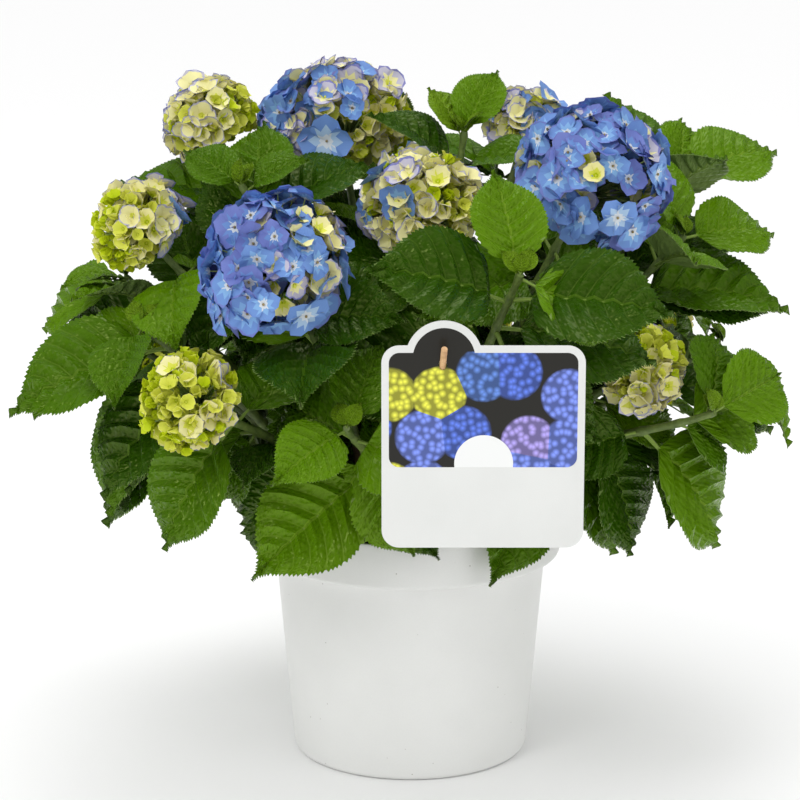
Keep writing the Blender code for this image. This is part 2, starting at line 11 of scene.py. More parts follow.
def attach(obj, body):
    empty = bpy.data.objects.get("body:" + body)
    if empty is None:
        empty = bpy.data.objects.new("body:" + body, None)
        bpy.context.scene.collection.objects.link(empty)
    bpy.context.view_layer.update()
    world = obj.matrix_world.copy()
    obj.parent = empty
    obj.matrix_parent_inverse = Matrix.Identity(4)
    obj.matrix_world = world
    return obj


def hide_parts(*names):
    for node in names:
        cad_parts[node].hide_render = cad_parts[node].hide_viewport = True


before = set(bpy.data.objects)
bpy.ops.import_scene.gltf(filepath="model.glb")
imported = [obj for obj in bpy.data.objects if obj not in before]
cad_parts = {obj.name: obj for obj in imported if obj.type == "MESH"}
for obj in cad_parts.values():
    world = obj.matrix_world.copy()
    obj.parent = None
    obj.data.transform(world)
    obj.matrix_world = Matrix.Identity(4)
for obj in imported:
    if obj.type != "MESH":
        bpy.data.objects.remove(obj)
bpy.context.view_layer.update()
print("loaded", len(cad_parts), "nodes")


def nothingSelected():
    if bpy.context.object and bpy.context.object.mode != "OBJECT":
        bpy.ops.object.mode_set(mode="OBJECT")
    bpy.ops.object.select_all(action="DESELECT")


def onlySelected(piece):
    nothingSelected()
    piece.select_set(True)
    bpy.context.view_layer.objects.active = piece


def newObject(name, data):
    made = bpy.data.objects.new(name, data)
    bpy.context.scene.collection.objects.link(made)
    return made


def openMesh(piece):
    bpy.ops.object.mode_set(mode="EDIT")
    return bmesh.from_edit_mesh(piece.data)


def closeMesh(piece):
    bmesh.update_edit_mesh(piece.data)
    bpy.ops.object.mode_set(mode="OBJECT")


def applyModifiers(piece):
    bpy.context.view_layer.objects.active = piece
    for modifier in list(piece.modifiers):
        bpy.ops.object.modifier_apply(modifier=modifier.name)


def settle(piece):
    # the place, turn and scale go into the mesh
    onlySelected(piece)
    bpy.ops.object.transform_apply(location=True, rotation=True, scale=True)


def smooth(piece, degrees):
    onlySelected(piece)
    bpy.ops.object.shade_smooth_by_angle(angle=math.radians(degrees))


def cutOut(piece, cutters):
    for cutter in cutters:
        cut = piece.modifiers.new("cut", "BOOLEAN")
        cut.operation = "DIFFERENCE"
        cut.object = cutter
    applyModifiers(piece)


def turnTo(piece, way, axis="Z"):
    # its own axis along the way given
    piece.rotation_mode = "QUATERNION"
    piece.rotation_quaternion = way.to_track_quat(axis, "Y")


def remove(piece):
    bpy.data.objects.remove(piece, do_unlink=True)


def ringPoint(radius, angle):
    return radius * math.cos(angle), radius * math.sin(angle)


def readPattern(piece):
    # the points, faces, slots and face corner uvs of a modelled piece, which is then removed
    mesh = piece.data
    pattern = {
        "points": np.array([vertex.co for vertex in mesh.vertices]),
        "faces": [tuple(face.vertices) for face in mesh.polygons],
        "slots": [face.material_index for face in mesh.polygons],
        "uvs": [tuple(corner.uv) for corner in mesh.uv_layers.active.data] if mesh.uv_layers else [],
    }
    remove(piece)
    return pattern


class Growth:
    # many copies of patterns, gathered and then made one mesh
    def __init__(self):
        self.points, self.faces, self.slots, self.uvs = [], [], [], []

    def add(self, points, faces, slots, uvs=()):
        start = len(self.points)
        self.points += [tuple(point) for point in points]
        self.faces += [tuple(start + index for index in face) for face in faces]
        self.slots += slots
        self.uvs += uvs

    def make(self, name, materials):
        mesh = bpy.data.meshes.new(name)
        mesh.from_pydata(self.points, [], self.faces)
        for material in materials:
            mesh.materials.append(material)
        mesh.polygons.foreach_set("material_index", self.slots)
        if self.uvs:
            layer = mesh.uv_layers.new(name="grown")
            layer.data.foreach_set("uv", [value for uv in self.uvs for value in uv])
        mesh.update()
        print(name, sum(len(face) - 2 for face in self.faces), "triangles")
        return newObject(name, mesh)


def rideRoot(piece, slot, *nodes):
    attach(piece, "root")
    if nodes:
        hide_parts(*nodes)


# materials

def feed(node, inputs):
    # each input gets a plain value, or the output of another node
    for socket, value in inputs.items():
        if isinstance(value, bpy.types.NodeSocket):
            node.id_data.links.new(value, node.inputs[socket])
        else:
            node.inputs[socket].default_value = value


def addNode(tree, kind, inputs, **settings):
    node = tree.nodes.new("ShaderNode" + kind)
    for name, value in settings.items():
        setattr(node, name, value)
    feed(node, inputs)
    return node


def combined(operation, first, second):
    return addNode(first.id_data, "Math", {0: first, 1: second}, operation=operation).outputs[0]


def rangeOf(value, low, high, fromLow=0.3, fromHigh=0.7):
    return addNode(value.id_data, "MapRange", {
        "Value": value, "From Min": fromLow, "From Max": fromHigh, "To Min": low, "To Max": high,
    }).outputs["Result"]


def rampOf(value, stops, fading="LINEAR"):
    node = addNode(value.id_data, "ValToRGB", {"Fac": value})
    node.color_ramp.interpolation = fading
    elements = node.color_ramp.elements
    for element, (position, colour) in ((elements[0], stops[0]), (elements[1], stops[-1])):
        element.position = position
        element.color = (*colour, 1.0)
    for position, colour in stops[1:-1]:
        elements.new(position).color = (*colour, 1.0)
    return node.outputs["Color"]


def mixOf(tree, factor, low, high, blend="MIX"):
    inputs = {"Factor": factor, 6: low, 7: high}
    return addNode(tree, "Mix", inputs, data_type="RGBA", blend_type=blend).outputs[2]


def addBump(shader, height, strength, depth):
    bump = addNode(shader.id_data, "Bump", {"Height": height, "Strength": strength, "Distance": depth})
    feed(shader, {"Normal": bump.outputs["Normal"]})


def noiseOf(place, inputs):
    return addNode(place.id_data, "TexNoise", {"Vector": place, **inputs}).outputs["Fac"]


def cellsOf(place, inputs, **settings):
    return addNode(place.id_data, "TexVoronoi", {"Vector": place, **inputs}, **settings).outputs


def stretched(place, scales):
    return addNode(place.id_data, "VectorMath", {0: place, 1: scales}, operation="MULTIPLY").outputs[0]


def newGroup(name, inputs):
    group = bpy.data.node_groups.new(name, "ShaderNodeTree")
    group.interface.new_socket("Vector", in_out="INPUT", socket_type="NodeSocketVector")
    for label, value in inputs.items():
        socket = group.interface.new_socket(label, in_out="INPUT", socket_type="NodeSocketFloat")
        socket.default_value = value
    return group, group.nodes.new("NodeGroupInput").outputs


def endGroup(group, outputs):
    for label in outputs:
        group.interface.new_socket(label, in_out="OUTPUT", socket_type="NodeSocketFloat")
    feed(group.nodes.new("NodeGroupOutput"), outputs)
    return group


def mottleGroup():
    # soft blotches and fine grain on any surface
    group, into = newGroup("mottle", {"Blotch": 30.0, "Grain": 400.0})
    blotch, grain = [
        noiseOf(into["Vector"], {"Scale": into[scale], "Detail": detail})
        for scale, detail in (("Blotch", 3.0), ("Grain", 2.0))
    ]
    tone = addNode(group, "Math", {0: grain, 1: 0.35, 2: blotch}, operation="MULTIPLY_ADD")
    return endGroup(group, {"Tone": tone.outputs[0], "Height": grain})


def crumpleGroup():
    # the fine crumpled net between a leaf's side veins, in the leaf's own map
    group, into = newGroup("crumple", {"Steps": 40.0})
    long = stretched(into["Vector"], (0.30, 1.0, 1.0))
    cells = cellsOf(long, {"Scale": into["Steps"]}, feature="SMOOTH_F1")
    domed = addNode(group, "Math", {0: 1.0, 1: cells["Distance"]}, operation="SUBTRACT").outputs[0]
    return endGroup(group, {"Height": domed, "Gloss": noiseOf(into["Vector"], {"Scale": 9.0})})


def streakGroup():
    # fine lines that run out along a petal, in the petal's own map
    group, into = newGroup("streaks", {})
    long = stretched(into["Vector"], (24.0, 2.5, 1.0))
    return endGroup(group, {"Height": noiseOf(long, {"Scale": 1.0, "Detail": 1.5})})


mottle, crumple, streaks = mottleGroup(), crumpleGroup(), streakGroup()
print("node groups made")


def newMaterial(name, colour, roughness, gloss=0.5):
    material = bpy.data.materials.new(name)
    material.use_nodes = True
    shader = material.node_tree.nodes["Principled BSDF"]
    feed(shader, {"Base Color": (*colour, 1.0), "Roughness": roughness, "Specular IOR Level": gloss})
    return material, material.node_tree, shader


def ownPlace(tree):
    return addNode(tree, "TexCoord", {}).outputs["Object"]


def grownPlace(tree):
    return addNode(tree, "UVMap", {}, uv_map="grown").outputs["UV"]


def effectOf(group, place, **values):
    return addNode(place.id_data, "Group", {"Vector": place, **values}, node_tree=group).outputs


def mottledMaterial(name, dark, light, roughness, blotch, grain, depth):
    # two tones in blotches, with grain in the relief and the gloss
    material, tree, shader = newMaterial(name, light, roughness[0])
    effect = effectOf(mottle, ownPlace(tree), Blotch=blotch, Grain=grain)
    feed(shader, {
        "Base Color": rampOf(effect["Tone"], ((0.4, dark), (0.95, light))),
        "Roughness": rangeOf(effect["Height"], *roughness),
    })
    addBump(shader, effect["Height"], 0.6, depth)
    return material


def leafMaterial(name, colour, roughness, steps, depth):
    material, tree, shader = newMaterial(name, colour, roughness, leafFinish["gloss"])
    effect = effectOf(crumple, grownPlace(tree), Steps=steps)
    feed(shader, {
        "Specular Tint": (*leafFinish["glossTint"], 1.0),
        "Roughness": rangeOf(effect["Gloss"], roughness - 0.08, roughness + 0.1),
    })
    addBump(shader, effect["Height"], leafFinish["relief"], depth)
    return material


def petalMaterial(name, colour):
    material, tree, shader = newMaterial(name, colour, petalFinish["roughness"], petalFinish["gloss"])
    addBump(shader, effectOf(streaks, grownPlace(tree))["Height"], 0.5, petalFinish["relief"])
    return material


# camera, floor and light

cameraPlan = {
    "place": (-0.008, -2.05, 0.755),
    "tiltDown": 13.2,            # degrees below level
    "focalPixels": 2760.0,       # for a picture 800 pixels wide
    "pictureWidth": 800.0,
    "sensor": 36.0,
}


def makeCamera():
    camera = newObject("camera", bpy.data.cameras.new("camera"))
    camera.location = cameraPlan["place"]
    camera.rotation_euler = (math.radians(90 - cameraPlan["tiltDown"]), 0, 0)
    camera.data.sensor_width = cameraPlan["sensor"]
    camera.data.lens = cameraPlan["focalPixels"] / cameraPlan["pictureWidth"] * cameraPlan["sensor"]
    camera.data.clip_end = 50
    bpy.context.scene.camera = camera


studioPlan = {
    "floorSize": 24.0,
    "floorColour": (0.93, 0.93, 0.93),
    "skyStrength": (0.46, 1.42),             # at the horizon and overhead
    "mirrored": 0.25,                        # share of it that glossy surfaces mirror
    "lights": {                  # place, size, power in watts
        "keyLight": ((-1.3, -1.9, 2.1), 0.9, 16.0),
        "fillLight": ((1.8, -1.6, 1.3), 1.4, 4.0),
        "topLight": ((0.2, 0.6, 2.4), 1.2, 8.0),
    },
    "aim": (0.0, 0.0, 0.30),
}


def makeStudio():
    nothingSelected()
    bpy.ops.mesh.primitive_plane_add(size=studioPlan["floorSize"], location=(0, 0, 0))
    floor = bpy.context.object
    floor.name = "floor"
    floor.data.materials.append(newMaterial("floorPaint", studioPlan["floorColour"], 0.9)[0])
    world = bpy.data.worlds.new("studio")
    bpy.context.scene.world = world
    world.use_nodes = True
    tree = world.node_tree
    way = addNode(tree, "TexCoord", {}).outputs["Generated"]
    height = addNode(tree, "SeparateXYZ", {0: way}).outputs["Z"]
    mirror = addNode(tree, "LightPath", {}).outputs["Is Glossy Ray"]
    strength = rangeOf(height, *studioPlan["skyStrength"], 0.0, 1.0)
    seen = rangeOf(mirror, 1.0, studioPlan["mirrored"], 0.0, 1.0)
    backdrop = tree.nodes["Background"]
    feed(backdrop, {"Color": (1.0, 1.0, 1.0, 1.0), "Strength": combined("MULTIPLY", strength, seen)})
    for name, (place, size, power) in studioPlan["lights"].items():
        lamp = newObject(name, bpy.data.lights.new(name, "AREA"))
        lamp.location = place
        lamp.data.size = size
        lamp.data.energy = power
        turnTo(lamp, Vector(studioPlan["aim"]) - lamp.location, "-Z")
    bpy.context.scene.view_settings.view_transform = "Standard"


makeCamera()
makeStudio()
print("camera, floor and light made")


# the pot

potPlan = {
    "height": 0.192,
    "collar": 0.115,
    "collarFoot": 0.157,
    "collarRound": 0.0035,       # the soft lower edge of the collar
    "collarFlare": ((0.0004, 0.0140), (0.0008, 0.0030)),     # outward, and how far below the rim
    "neck": 0.1038,
    "base": 0.0905,
    "baseRound": 0.0050,
    "wall": 0.0020,
    "wallShares": (0.12, 0.4, 0.7, 0.95, 1.0),     # where the wall has its points, from foot to neck
    "floor": 0.0030,
    "steps": 144,
    "drains": 8,
    "drainRadius": 0.005,
    "drainRing": 0.062,
}


potLook = {
    "plain": ((0.79, 0.79, 0.77), 0.34, 0.45),       # colour, roughness, gloss
    "blotches": 14.0, "grains": 900.0, "specks": 75.0,       # how many to a metre
    "tones": ((0.35, (0.76, 0.765, 0.745)), (0.95, (0.82, 0.825, 0.805))),
    "dust": ((0.022, (0.42, 0.40, 0.36)), (0.045, (1, 1, 1))),
    "roughness": (0.30, 0.42),
    "peel": (0.25, 0.0002),      # strength and depth
}


def arcPoints(centre, radius, start, end, steps):
    for step in range(steps + 1):
        x, y = ringPoint(radius, math.radians(start + (end - start) * step / steps))
        yield centre[0] + x, centre[1] + y


def potProfile():
    # half the pot's section, from the middle of its underside up and round to the middle of its floor
    plan = potPlan
    base, neck, collar, foot, wall = [plan[key] for key in ("base", "neck", "collar", "collarFoot", "wall")]
    soft, rounded, lip = plan["collarRound"], plan["baseRound"], wall / 2
    line = [(0.0, 0.0), (base * 0.5, 0.0), (base - rounded, 0.0)]
    line += arcPoints((base - rounded, rounded), rounded, -80, -5, 5)
    for share in plan["wallShares"]:
        line.append(tuple(Vector((base, rounded)).lerp(Vector((neck, foot)), share)))
    line += arcPoints((collar - soft, foot + soft), soft, -90, 0, 6)
    line += [(collar + out, plan["height"] - below) for out, below in plan["collarFlare"]]
    line += arcPoints((collar - lip + 0.0006, plan["height"] - lip), lip, 0, 180, 8)
    line += [(collar - wall, foot + 0.006), (neck - wall, foot)]
    return line + [(base - wall, plan["floor"]), (0.0, plan["floor"])]


def makePot():
    nothingSelected()
    bpy.ops.mesh.primitive_plane_add(size=0.01)
    pot = bpy.context.object
    pot.name = "plainPot"
    openMesh(pot)
    bpy.ops.mesh.delete(type="VERT")
    closeMesh(pot)
    section = [(x, 0, z) for x, z in potProfile()]
    pot.data.from_pydata(section, [(index, index + 1) for index in range(len(section) - 1)], [])
    openMesh(pot)
    bpy.ops.mesh.select_all(action="SELECT")
    bpy.ops.mesh.spin(steps=potPlan["steps"], angle=2 * math.pi, center=(0, 0, 0), axis=(0, 0, 1))
    bpy.ops.mesh.select_all(action="SELECT")
    bpy.ops.mesh.remove_doubles(threshold=0.00002)
    bpy.ops.mesh.normals_make_consistent(inside=False)
    closeMesh(pot)
    cutDrains(pot)
    smooth(pot, 50)
    pot.data.materials.append(potPlastic())
    rideRoot(pot, "white_plastic", "pot")


def cutDrains(pot):
    cutters = []
    for index in range(potPlan["drains"]):
        angle = 2 * math.pi * (index + 0.5) / potPlan["drains"]
        bpy.ops.mesh.primitive_cylinder_add(
            vertices=20, radius=potPlan["drainRadius"], depth=0.02,
            location=(*ringPoint(potPlan["drainRing"], angle), 0),
        )
        cutters.append(bpy.context.object)
    cutOut(pot, cutters)
    for cutter in cutters:
        remove(cutter)


def potPlastic():
    # satin white plastic with a faint orange peel and a few specks of dust
    material, tree, shader = newMaterial("potPlastic", *potLook["plain"])
    place = ownPlace(tree)
    effect = effectOf(mottle, place, Blotch=potLook["blotches"], Grain=potLook["grains"])
    specks = cellsOf(place, {"Scale": potLook["specks"]})["Distance"]
    tone, dust = rampOf(effect["Tone"], potLook["tones"]), rampOf(specks, potLook["dust"])
    feed(shader, {
        "Base Color": mixOf(tree, 1.0, tone, dust, "MULTIPLY"),
        "Roughness": rangeOf(effect["Tone"], *potLook["roughness"], 0.4, 1.0),
    })
    addBump(shader, effect["Height"], *potLook["peel"])
    return material


# the soil

soilPlan = {
    "top": 0.170,
    "dip": 0.004,                # lower at the wall
    "levelRadius": 0.078,
    "radius": 0.1125, "wallClear": 0.001,
    "crust": 0.0065,             # the thickness that is made
    "rings": 26,
    "crumbs": 420,
    "crumbSize": (0.0012, 0.0034), "crumbReach": 0.106,
    "crumbRough": (0.7, 1.2), "crumbLong": (0.7, 1.8),       # shares of its size
    "sunk": 0.0012,
    # dark, light, roughness, blotches and grains to a metre, relief
    "look": ((0.010, 0.006, 0.004), (0.060, 0.035, 0.020), (0.85, 1.0), 90.0, 700.0, 0.0012),
    "bumps": ((0.0016, 70, 1), (0.0008, 230, 2)),     # height, how many to a metre, layer of the noise
}


def soilHeight(x, y):
    away = math.hypot(x, y)
    drop = soilPlan["dip"] * min(1.0, max(0.0, (away - soilPlan["levelRadius"]) / 0.02))
    bumps = 0.0
    for size, rate, layer in soilPlan["bumps"]:
        bumps += size * noise.noise(Vector((x * rate, y * rate, layer)))
    return soilPlan["top"] - soilPlan["sunk"] - drop + bumps


def makeSoil():
    nothingSelected()
    bpy.ops.mesh.primitive_cylinder_add(
        vertices=96, radius=soilPlan["radius"] - soilPlan["wallClear"], depth=soilPlan["crust"],
        location=(0, 0, soilPlan["top"] - soilPlan["crust"] / 2),
    )
    soil = bpy.context.object
    soil.name = "peatSoil"
    settle(soil)
    for face in openMesh(soil).faces:
        face.select = face.normal.z > 0.9
    bmesh.update_edit_mesh(soil.data)
    for ring in range(soilPlan["rings"]):
        bpy.ops.mesh.inset(thickness=soilPlan["radius"] / (soilPlan["rings"] + 1))
    closeMesh(soil)
    for vertex in soil.data.vertices:
        if vertex.co.z > soilPlan["top"] - 0.0001:
            vertex.co.z = soilHeight(vertex.co.x, vertex.co.y)
    smooth(soil, 80)
    crumbs = makeCrumbs()
    nothingSelected()
    for item in (crumbs, soil):
        item.select_set(True)
    bpy.context.view_layer.objects.active = soil
    soil.data.materials.append(mottledMaterial("peat", *soilPlan["look"]))
    bpy.ops.object.join()
    rideRoot(soil, "potting_soil", "soil")


def makeCrumbs():
    draw = random.Random("crumbs")
    bpy.ops.mesh.primitive_ico_sphere_add(subdivisions=1, radius=1.0)
    crumb = readPattern(bpy.context.object)
    heap = Growth()
    for _ in range(soilPlan["crumbs"]):
        away = soilPlan["crumbReach"] * math.sqrt(draw.random())
        x, y = ringPoint(away, draw.uniform(0, 2 * math.pi))
        size = draw.uniform(*soilPlan["crumbSize"])
        rough = np.array([[draw.uniform(*soilPlan["crumbRough"])] for _ in crumb["points"]])
        shape = crumb["points"] * rough * size * np.array([draw.uniform(*soilPlan["crumbLong"]), 1.0, 0.7])
        heap.add(shape + np.array([x, y, soilHeight(x, y)]), crumb["faces"], crumb["slots"])
    return heap.make("crumbs", [])


# the label card and its peg

cardPlan = {
    "left": -0.0205, "right": 0.1165, "foot": 0.2285, "head": 0.3690,
    "front": -0.2450,
    "thickness": 0.0009,
    "leafClear": 0.0003,         # how far a leaf's tip stays behind the card
    "corner": 0.0120,
    "earX": 0.0215, "earRadius": 0.0260, "earZ": 0.3600,
    "printLift": 0.00006,        # how far the print stands off the card
    "printFoot": 0.2850,
    "disc": (0.0485, 0.2874), "discRadius": 0.0199,
    "printInset": 0.0050,
    "dusk": (0.016, 0.015, 0.012, 1.0), "pale": (0.82, 0.83, 0.82, 1.0),
    "clusterTop": 0.356,         # no cluster has its middle above this
    "clusterRim": (0.52, 0.58),  # it fades out here, as shares of a cell
    "petalShades": (1.5, 0.45),  # in the middle of a petal and between them
    "cells": ((30.0, 0.55), (210.0, 1.0)),       # clusters and petals: how many to a metre, and their stray
    "clusters": ((0.0, (0.09, 0.16, 0.60)), (0.30, (0.17, 0.24, 0.72)), (0.55, (0.34, 0.28, 0.66)),
                 (0.72, (0.10, 0.20, 0.55)), (0.86, (0.62, 0.62, 0.06))),
    "holeWide": 0.0028,
    "look": ((0.68, 0.69, 0.67), (0.73, 0.74, 0.72), (0.30, 0.42), 20.0, 1200.0, 0.00008),
}


def cardOutline(inset, foot):
    plan = cardPlan
    corner = max(plan["corner"] - inset, 0.004)
    left, right = plan["left"] + inset + corner, plan["right"] - inset - corner
    head = plan["head"] - inset - corner
    ear = plan["earRadius"] - inset
    rise = math.degrees(math.asin((plan["head"] - inset - plan["earZ"]) / ear))
    points = list(arcPoints((right, foot + corner), corner, -90, 0, 8))
    points += arcPoints((right, head), corner, 0, 90, 8)
    points += arcPoints((plan["earX"], plan["earZ"]), ear, rise, 180 - rise, 28)
    points += arcPoints((left, head), corner, 90, 180, 8)
    points += arcPoints((left, foot + corner), corner, 180, 270, 8)
    return points


def makeSheet(name, outline, back, thickness):
    # a flat outline, filled and given its thickness, standing upright
    sheet = newObject(name, bpy.data.meshes.new(name))
    sheet.data.from_pydata([(x, back, z) for x, z in outline], [], [tuple(range(len(outline)))])
    onlySelected(sheet)
    openMesh(sheet)
    bpy.ops.mesh.select_all(action="SELECT")
    bpy.ops.mesh.normals_make_consistent(inside=False)
    bpy.ops.mesh.extrude_region_move(TRANSFORM_OT_translate={"value": (0, -thickness, 0)})
    bpy.ops.mesh.select_all(action="SELECT")
    bpy.ops.mesh.normals_make_consistent(inside=False)
    closeMesh(sheet)
    return sheet


pegPlan = {
    "foot": (0.010, -0.050, 0.1735),
    "tip": (0.0215, -0.2600, 0.3700),
    "radius": 0.0022,
    "sides": 20,
    "look": ((0.42, 0.22, 0.09), (0.80, 0.52, 0.28), (0.45, 0.65), 120.0, 900.0, 0.0002),
}


def pegHole(radius):
    foot, tip = Vector(pegPlan["foot"]), Vector(pegPlan["tip"])
    way = (tip - foot).normalized()
    nothingSelected()
    bpy.ops.mesh.primitive_cylinder_add(vertices=32, radius=radius, depth=0.08, location=tip - way * 0.01)
    cutter = bpy.context.object
    turnTo(cutter, way)
    return cutter


def makeCard():
    front, thick = cardPlan["front"], cardPlan["thickness"]
    card = makeSheet("labelCard", cardOutline(0.0, cardPlan["foot"]), front + thick, thick)
    outline = cardOutline(cardPlan["printInset"], cardPlan["printFoot"])
    flat = makeSheet("labelPrint", outline, front - 0.00001, cardPlan["printLift"])
    cutter = pegHole(cardPlan["holeWide"])
    for sheet in (card, flat):
        cutOut(sheet, [cutter])
    remove(cutter)
    card.data.materials.append(mottledMaterial("coatedCard", *cardPlan["look"]))
    flat.data.materials.append(printMaterial())
    rideRoot(card, "card", "label_card")
    rideRoot(flat, "card")


def printMaterial():
    # a generic print: round clusters of blue, lilac and lime on dusk brown, and a plain pale disc
    material, tree, shader = newMaterial("softPatches", (0.2, 0.25, 0.6), 0.28, 0.25)
    place = addNode(tree, "SeparateXYZ", {0: ownPlace(tree)}).outputs
    flat = addNode(tree, "CombineXYZ", {"X": place["X"], "Y": place["Z"]}).outputs[0]
    clusters, petals = [
        cellsOf(flat, {"Scale": scale, "Randomness": stray}, voronoi_dimensions="2D")
        for scale, stray in cardPlan["cells"]
    ]
    pick = addNode(tree, "SeparateColor", {"Color": clusters["Color"]}).outputs["Red"]
    kinds = rampOf(pick, cardPlan["clusters"], "CONSTANT")
    shade = rangeOf(petals["Distance"], *cardPlan["petalShades"], 0.0, 0.6)
    lit = addNode(tree, "VectorMath", {0: kinds, "Scale": shade}, operation="SCALE").outputs[0]
    middle = addNode(tree, "SeparateXYZ", {0: clusters["Position"]}).outputs["Y"]
    inside = rangeOf(clusters["Distance"], 1.0, 0.0, *cardPlan["clusterRim"])
    shown = combined("MULTIPLY", inside, combined("LESS_THAN", middle, cardPlan["clusterTop"]))
    picture = mixOf(tree, shown, cardPlan["dusk"], lit)
    away = addNode(tree, "VectorMath", {0: flat, 1: (*cardPlan["disc"], 0.0)}, operation="DISTANCE")
    outside = combined("GREATER_THAN", away.outputs["Value"], cardPlan["discRadius"])
    feed(shader, {"Base Color": mixOf(tree, outside, cardPlan["pale"], picture)})
    return material


def makePeg():
    foot, tip = Vector(pegPlan["foot"]), Vector(pegPlan["tip"])
    way = tip - foot
    nothingSelected()
    bpy.ops.mesh.primitive_cylinder_add(
        vertices=pegPlan["sides"], radius=pegPlan["radius"], depth=way.length, location=(foot + tip) / 2
    )
    peg = bpy.context.object
    peg.name = "labelPeg"
    turnTo(peg, way)
    settle(peg)
    edge = peg.modifiers.new("rounded", "BEVEL")
    edge.width = 0.0008
    edge.segments = 3
    applyModifiers(peg)
    smooth(peg, 50)
    peg.data.materials.append(mottledMaterial("splitCane", *pegPlan["look"]))
    rideRoot(peg, "cane", "label_peg")


makePot()
makeSoil()
makeCard()
makePeg()
print("pot, soil, label and peg made")


# the stems and the rule by which the plant grows

plantPlan = {
    "soilTop": 0.170, "gap": 0.0003,
    "footRing": 0.27, "footRingMost": 0.066, "footStray": 0.0016, "stemClear": 0.0010,
    "footRadius": 0.0048, "tipRadius": 0.0024,
    "limbRings": 5, "boughSides": 5, "twigSides": 4,
    "spreadCentre": (0.0, 0.0, 0.17),
    "firstNodeBloom": 0.012, "firstNodeShoot": 0.004,
    "spacing": (0.026, 0.032, 0.038, 0.042, 0.044, 0.044),
    "bareBelow": 0.010,
}

# tip, width of the flower head, compass way of the first pair, its slope, lift of the pairs below it,
# number of pairs, longest leaf
stemPlans = {
    "front_shoot": ((0.074, -0.200, 0.409), 0, 290, 28, 10, 5, 0.128),
    "far_left_shoot": ((-0.214, -0.020, 0.374), 0, 190, 8, 26, 5, 0.130),
    "low_left_shoot": ((-0.200, -0.040, 0.322), 0, 188, 46, 4, 5, 0.146),
    "right_shoot": ((0.204, -0.020, 0.405), 0, 352, 62, 34, 5, 0.124),
    "right_high_shoot": ((0.208, 0.060, 0.438), 0, 80, 58, 46, 6, 0.122),
    "top_shoot": ((0.040, 0.000, 0.480), 0, 40, 50, 10, 6, 0.124),
    "left_high_shoot": ((-0.124, -0.050, 0.448), 0, 150, 46, 10, 6, 0.116),
    "blue_front_left": ((-0.093, -0.165, 0.408), 0.108, 200, 0, 0, 5, 0.122),
    "blue_right": ((0.128, -0.105, 0.460), 0.114, 300, 0, 0, 6, 0.126),
    "cream_middle": ((0.010, -0.065, 0.432), 0.098, 200, 8, 6, 6, 0.122),
    "blue_top": ((-0.054, 0.050, 0.474), 0.120, 60, 8, 6, 6, 0.120),
    "cream_top_left": ((-0.151, 0.035, 0.482), 0.080, 300, 16, 10, 6, 0.118),
    "cream_left": ((-0.198, -0.060, 0.417), 0.078, 240, 4, 0, 5, 0.122),
    "lime_low_left": ((-0.154, -0.175, 0.314), 0.080, 215, 0, 0, 4, 0.122),
    "low_right_shoot": ((0.216, -0.140, 0.298), 0, 352, 66, 0, 4, 0.130),
    "lime_low_right": ((0.164, -0.100, 0.322), 0.078, 320, 4, 0, 4, 0.124),
    "blue_top_right": ((0.091, 0.110, 0.467), 0.072, 20, 16, 10, 6, 0.118),
    "left_shoot": ((-0.196, -0.100, 0.353), 0, 240, 20, 0, 4, 0.122),
    "low_front_shoot": ((-0.045, -0.195, 0.300), 0, 230, 30, 0, 4, 0.118),
    "blue_back_left": ((-0.115, 0.190, 0.345), 0.110, 120, 0, 0, 5, 0.122),
    "blue_back_right": ((0.135, 0.185, 0.365), 0.112, 60, 0, 0, 5, 0.124),
    "cream_back": ((0.010, 0.215, 0.400), 0.094, 95, 0, 0, 5, 0.122),
    "lime_back_left": ((-0.200, 0.135, 0.295), 0.080, 160, 0, 0, 4, 0.120),
    "lime_back": ((0.050, 0.245, 0.295), 0.082, 80, 0, 0, 4, 0.120),
    "lime_back_right": ((0.195, 0.140, 0.295), 0.080, 30, 0, 0, 4, 0.120),
    "back_shoot": ((-0.020, 0.125, 0.450), 0, 90, 40, 10, 6, 0.120),
    "back_low_shoot": ((-0.100, 0.235, 0.290), 0, 100, 20, 0, 4, 0.122),
    "right_low_shoot": ((0.240, 0.040, 0.310), 0, 10, 30, 20, 4, 0.124),
}

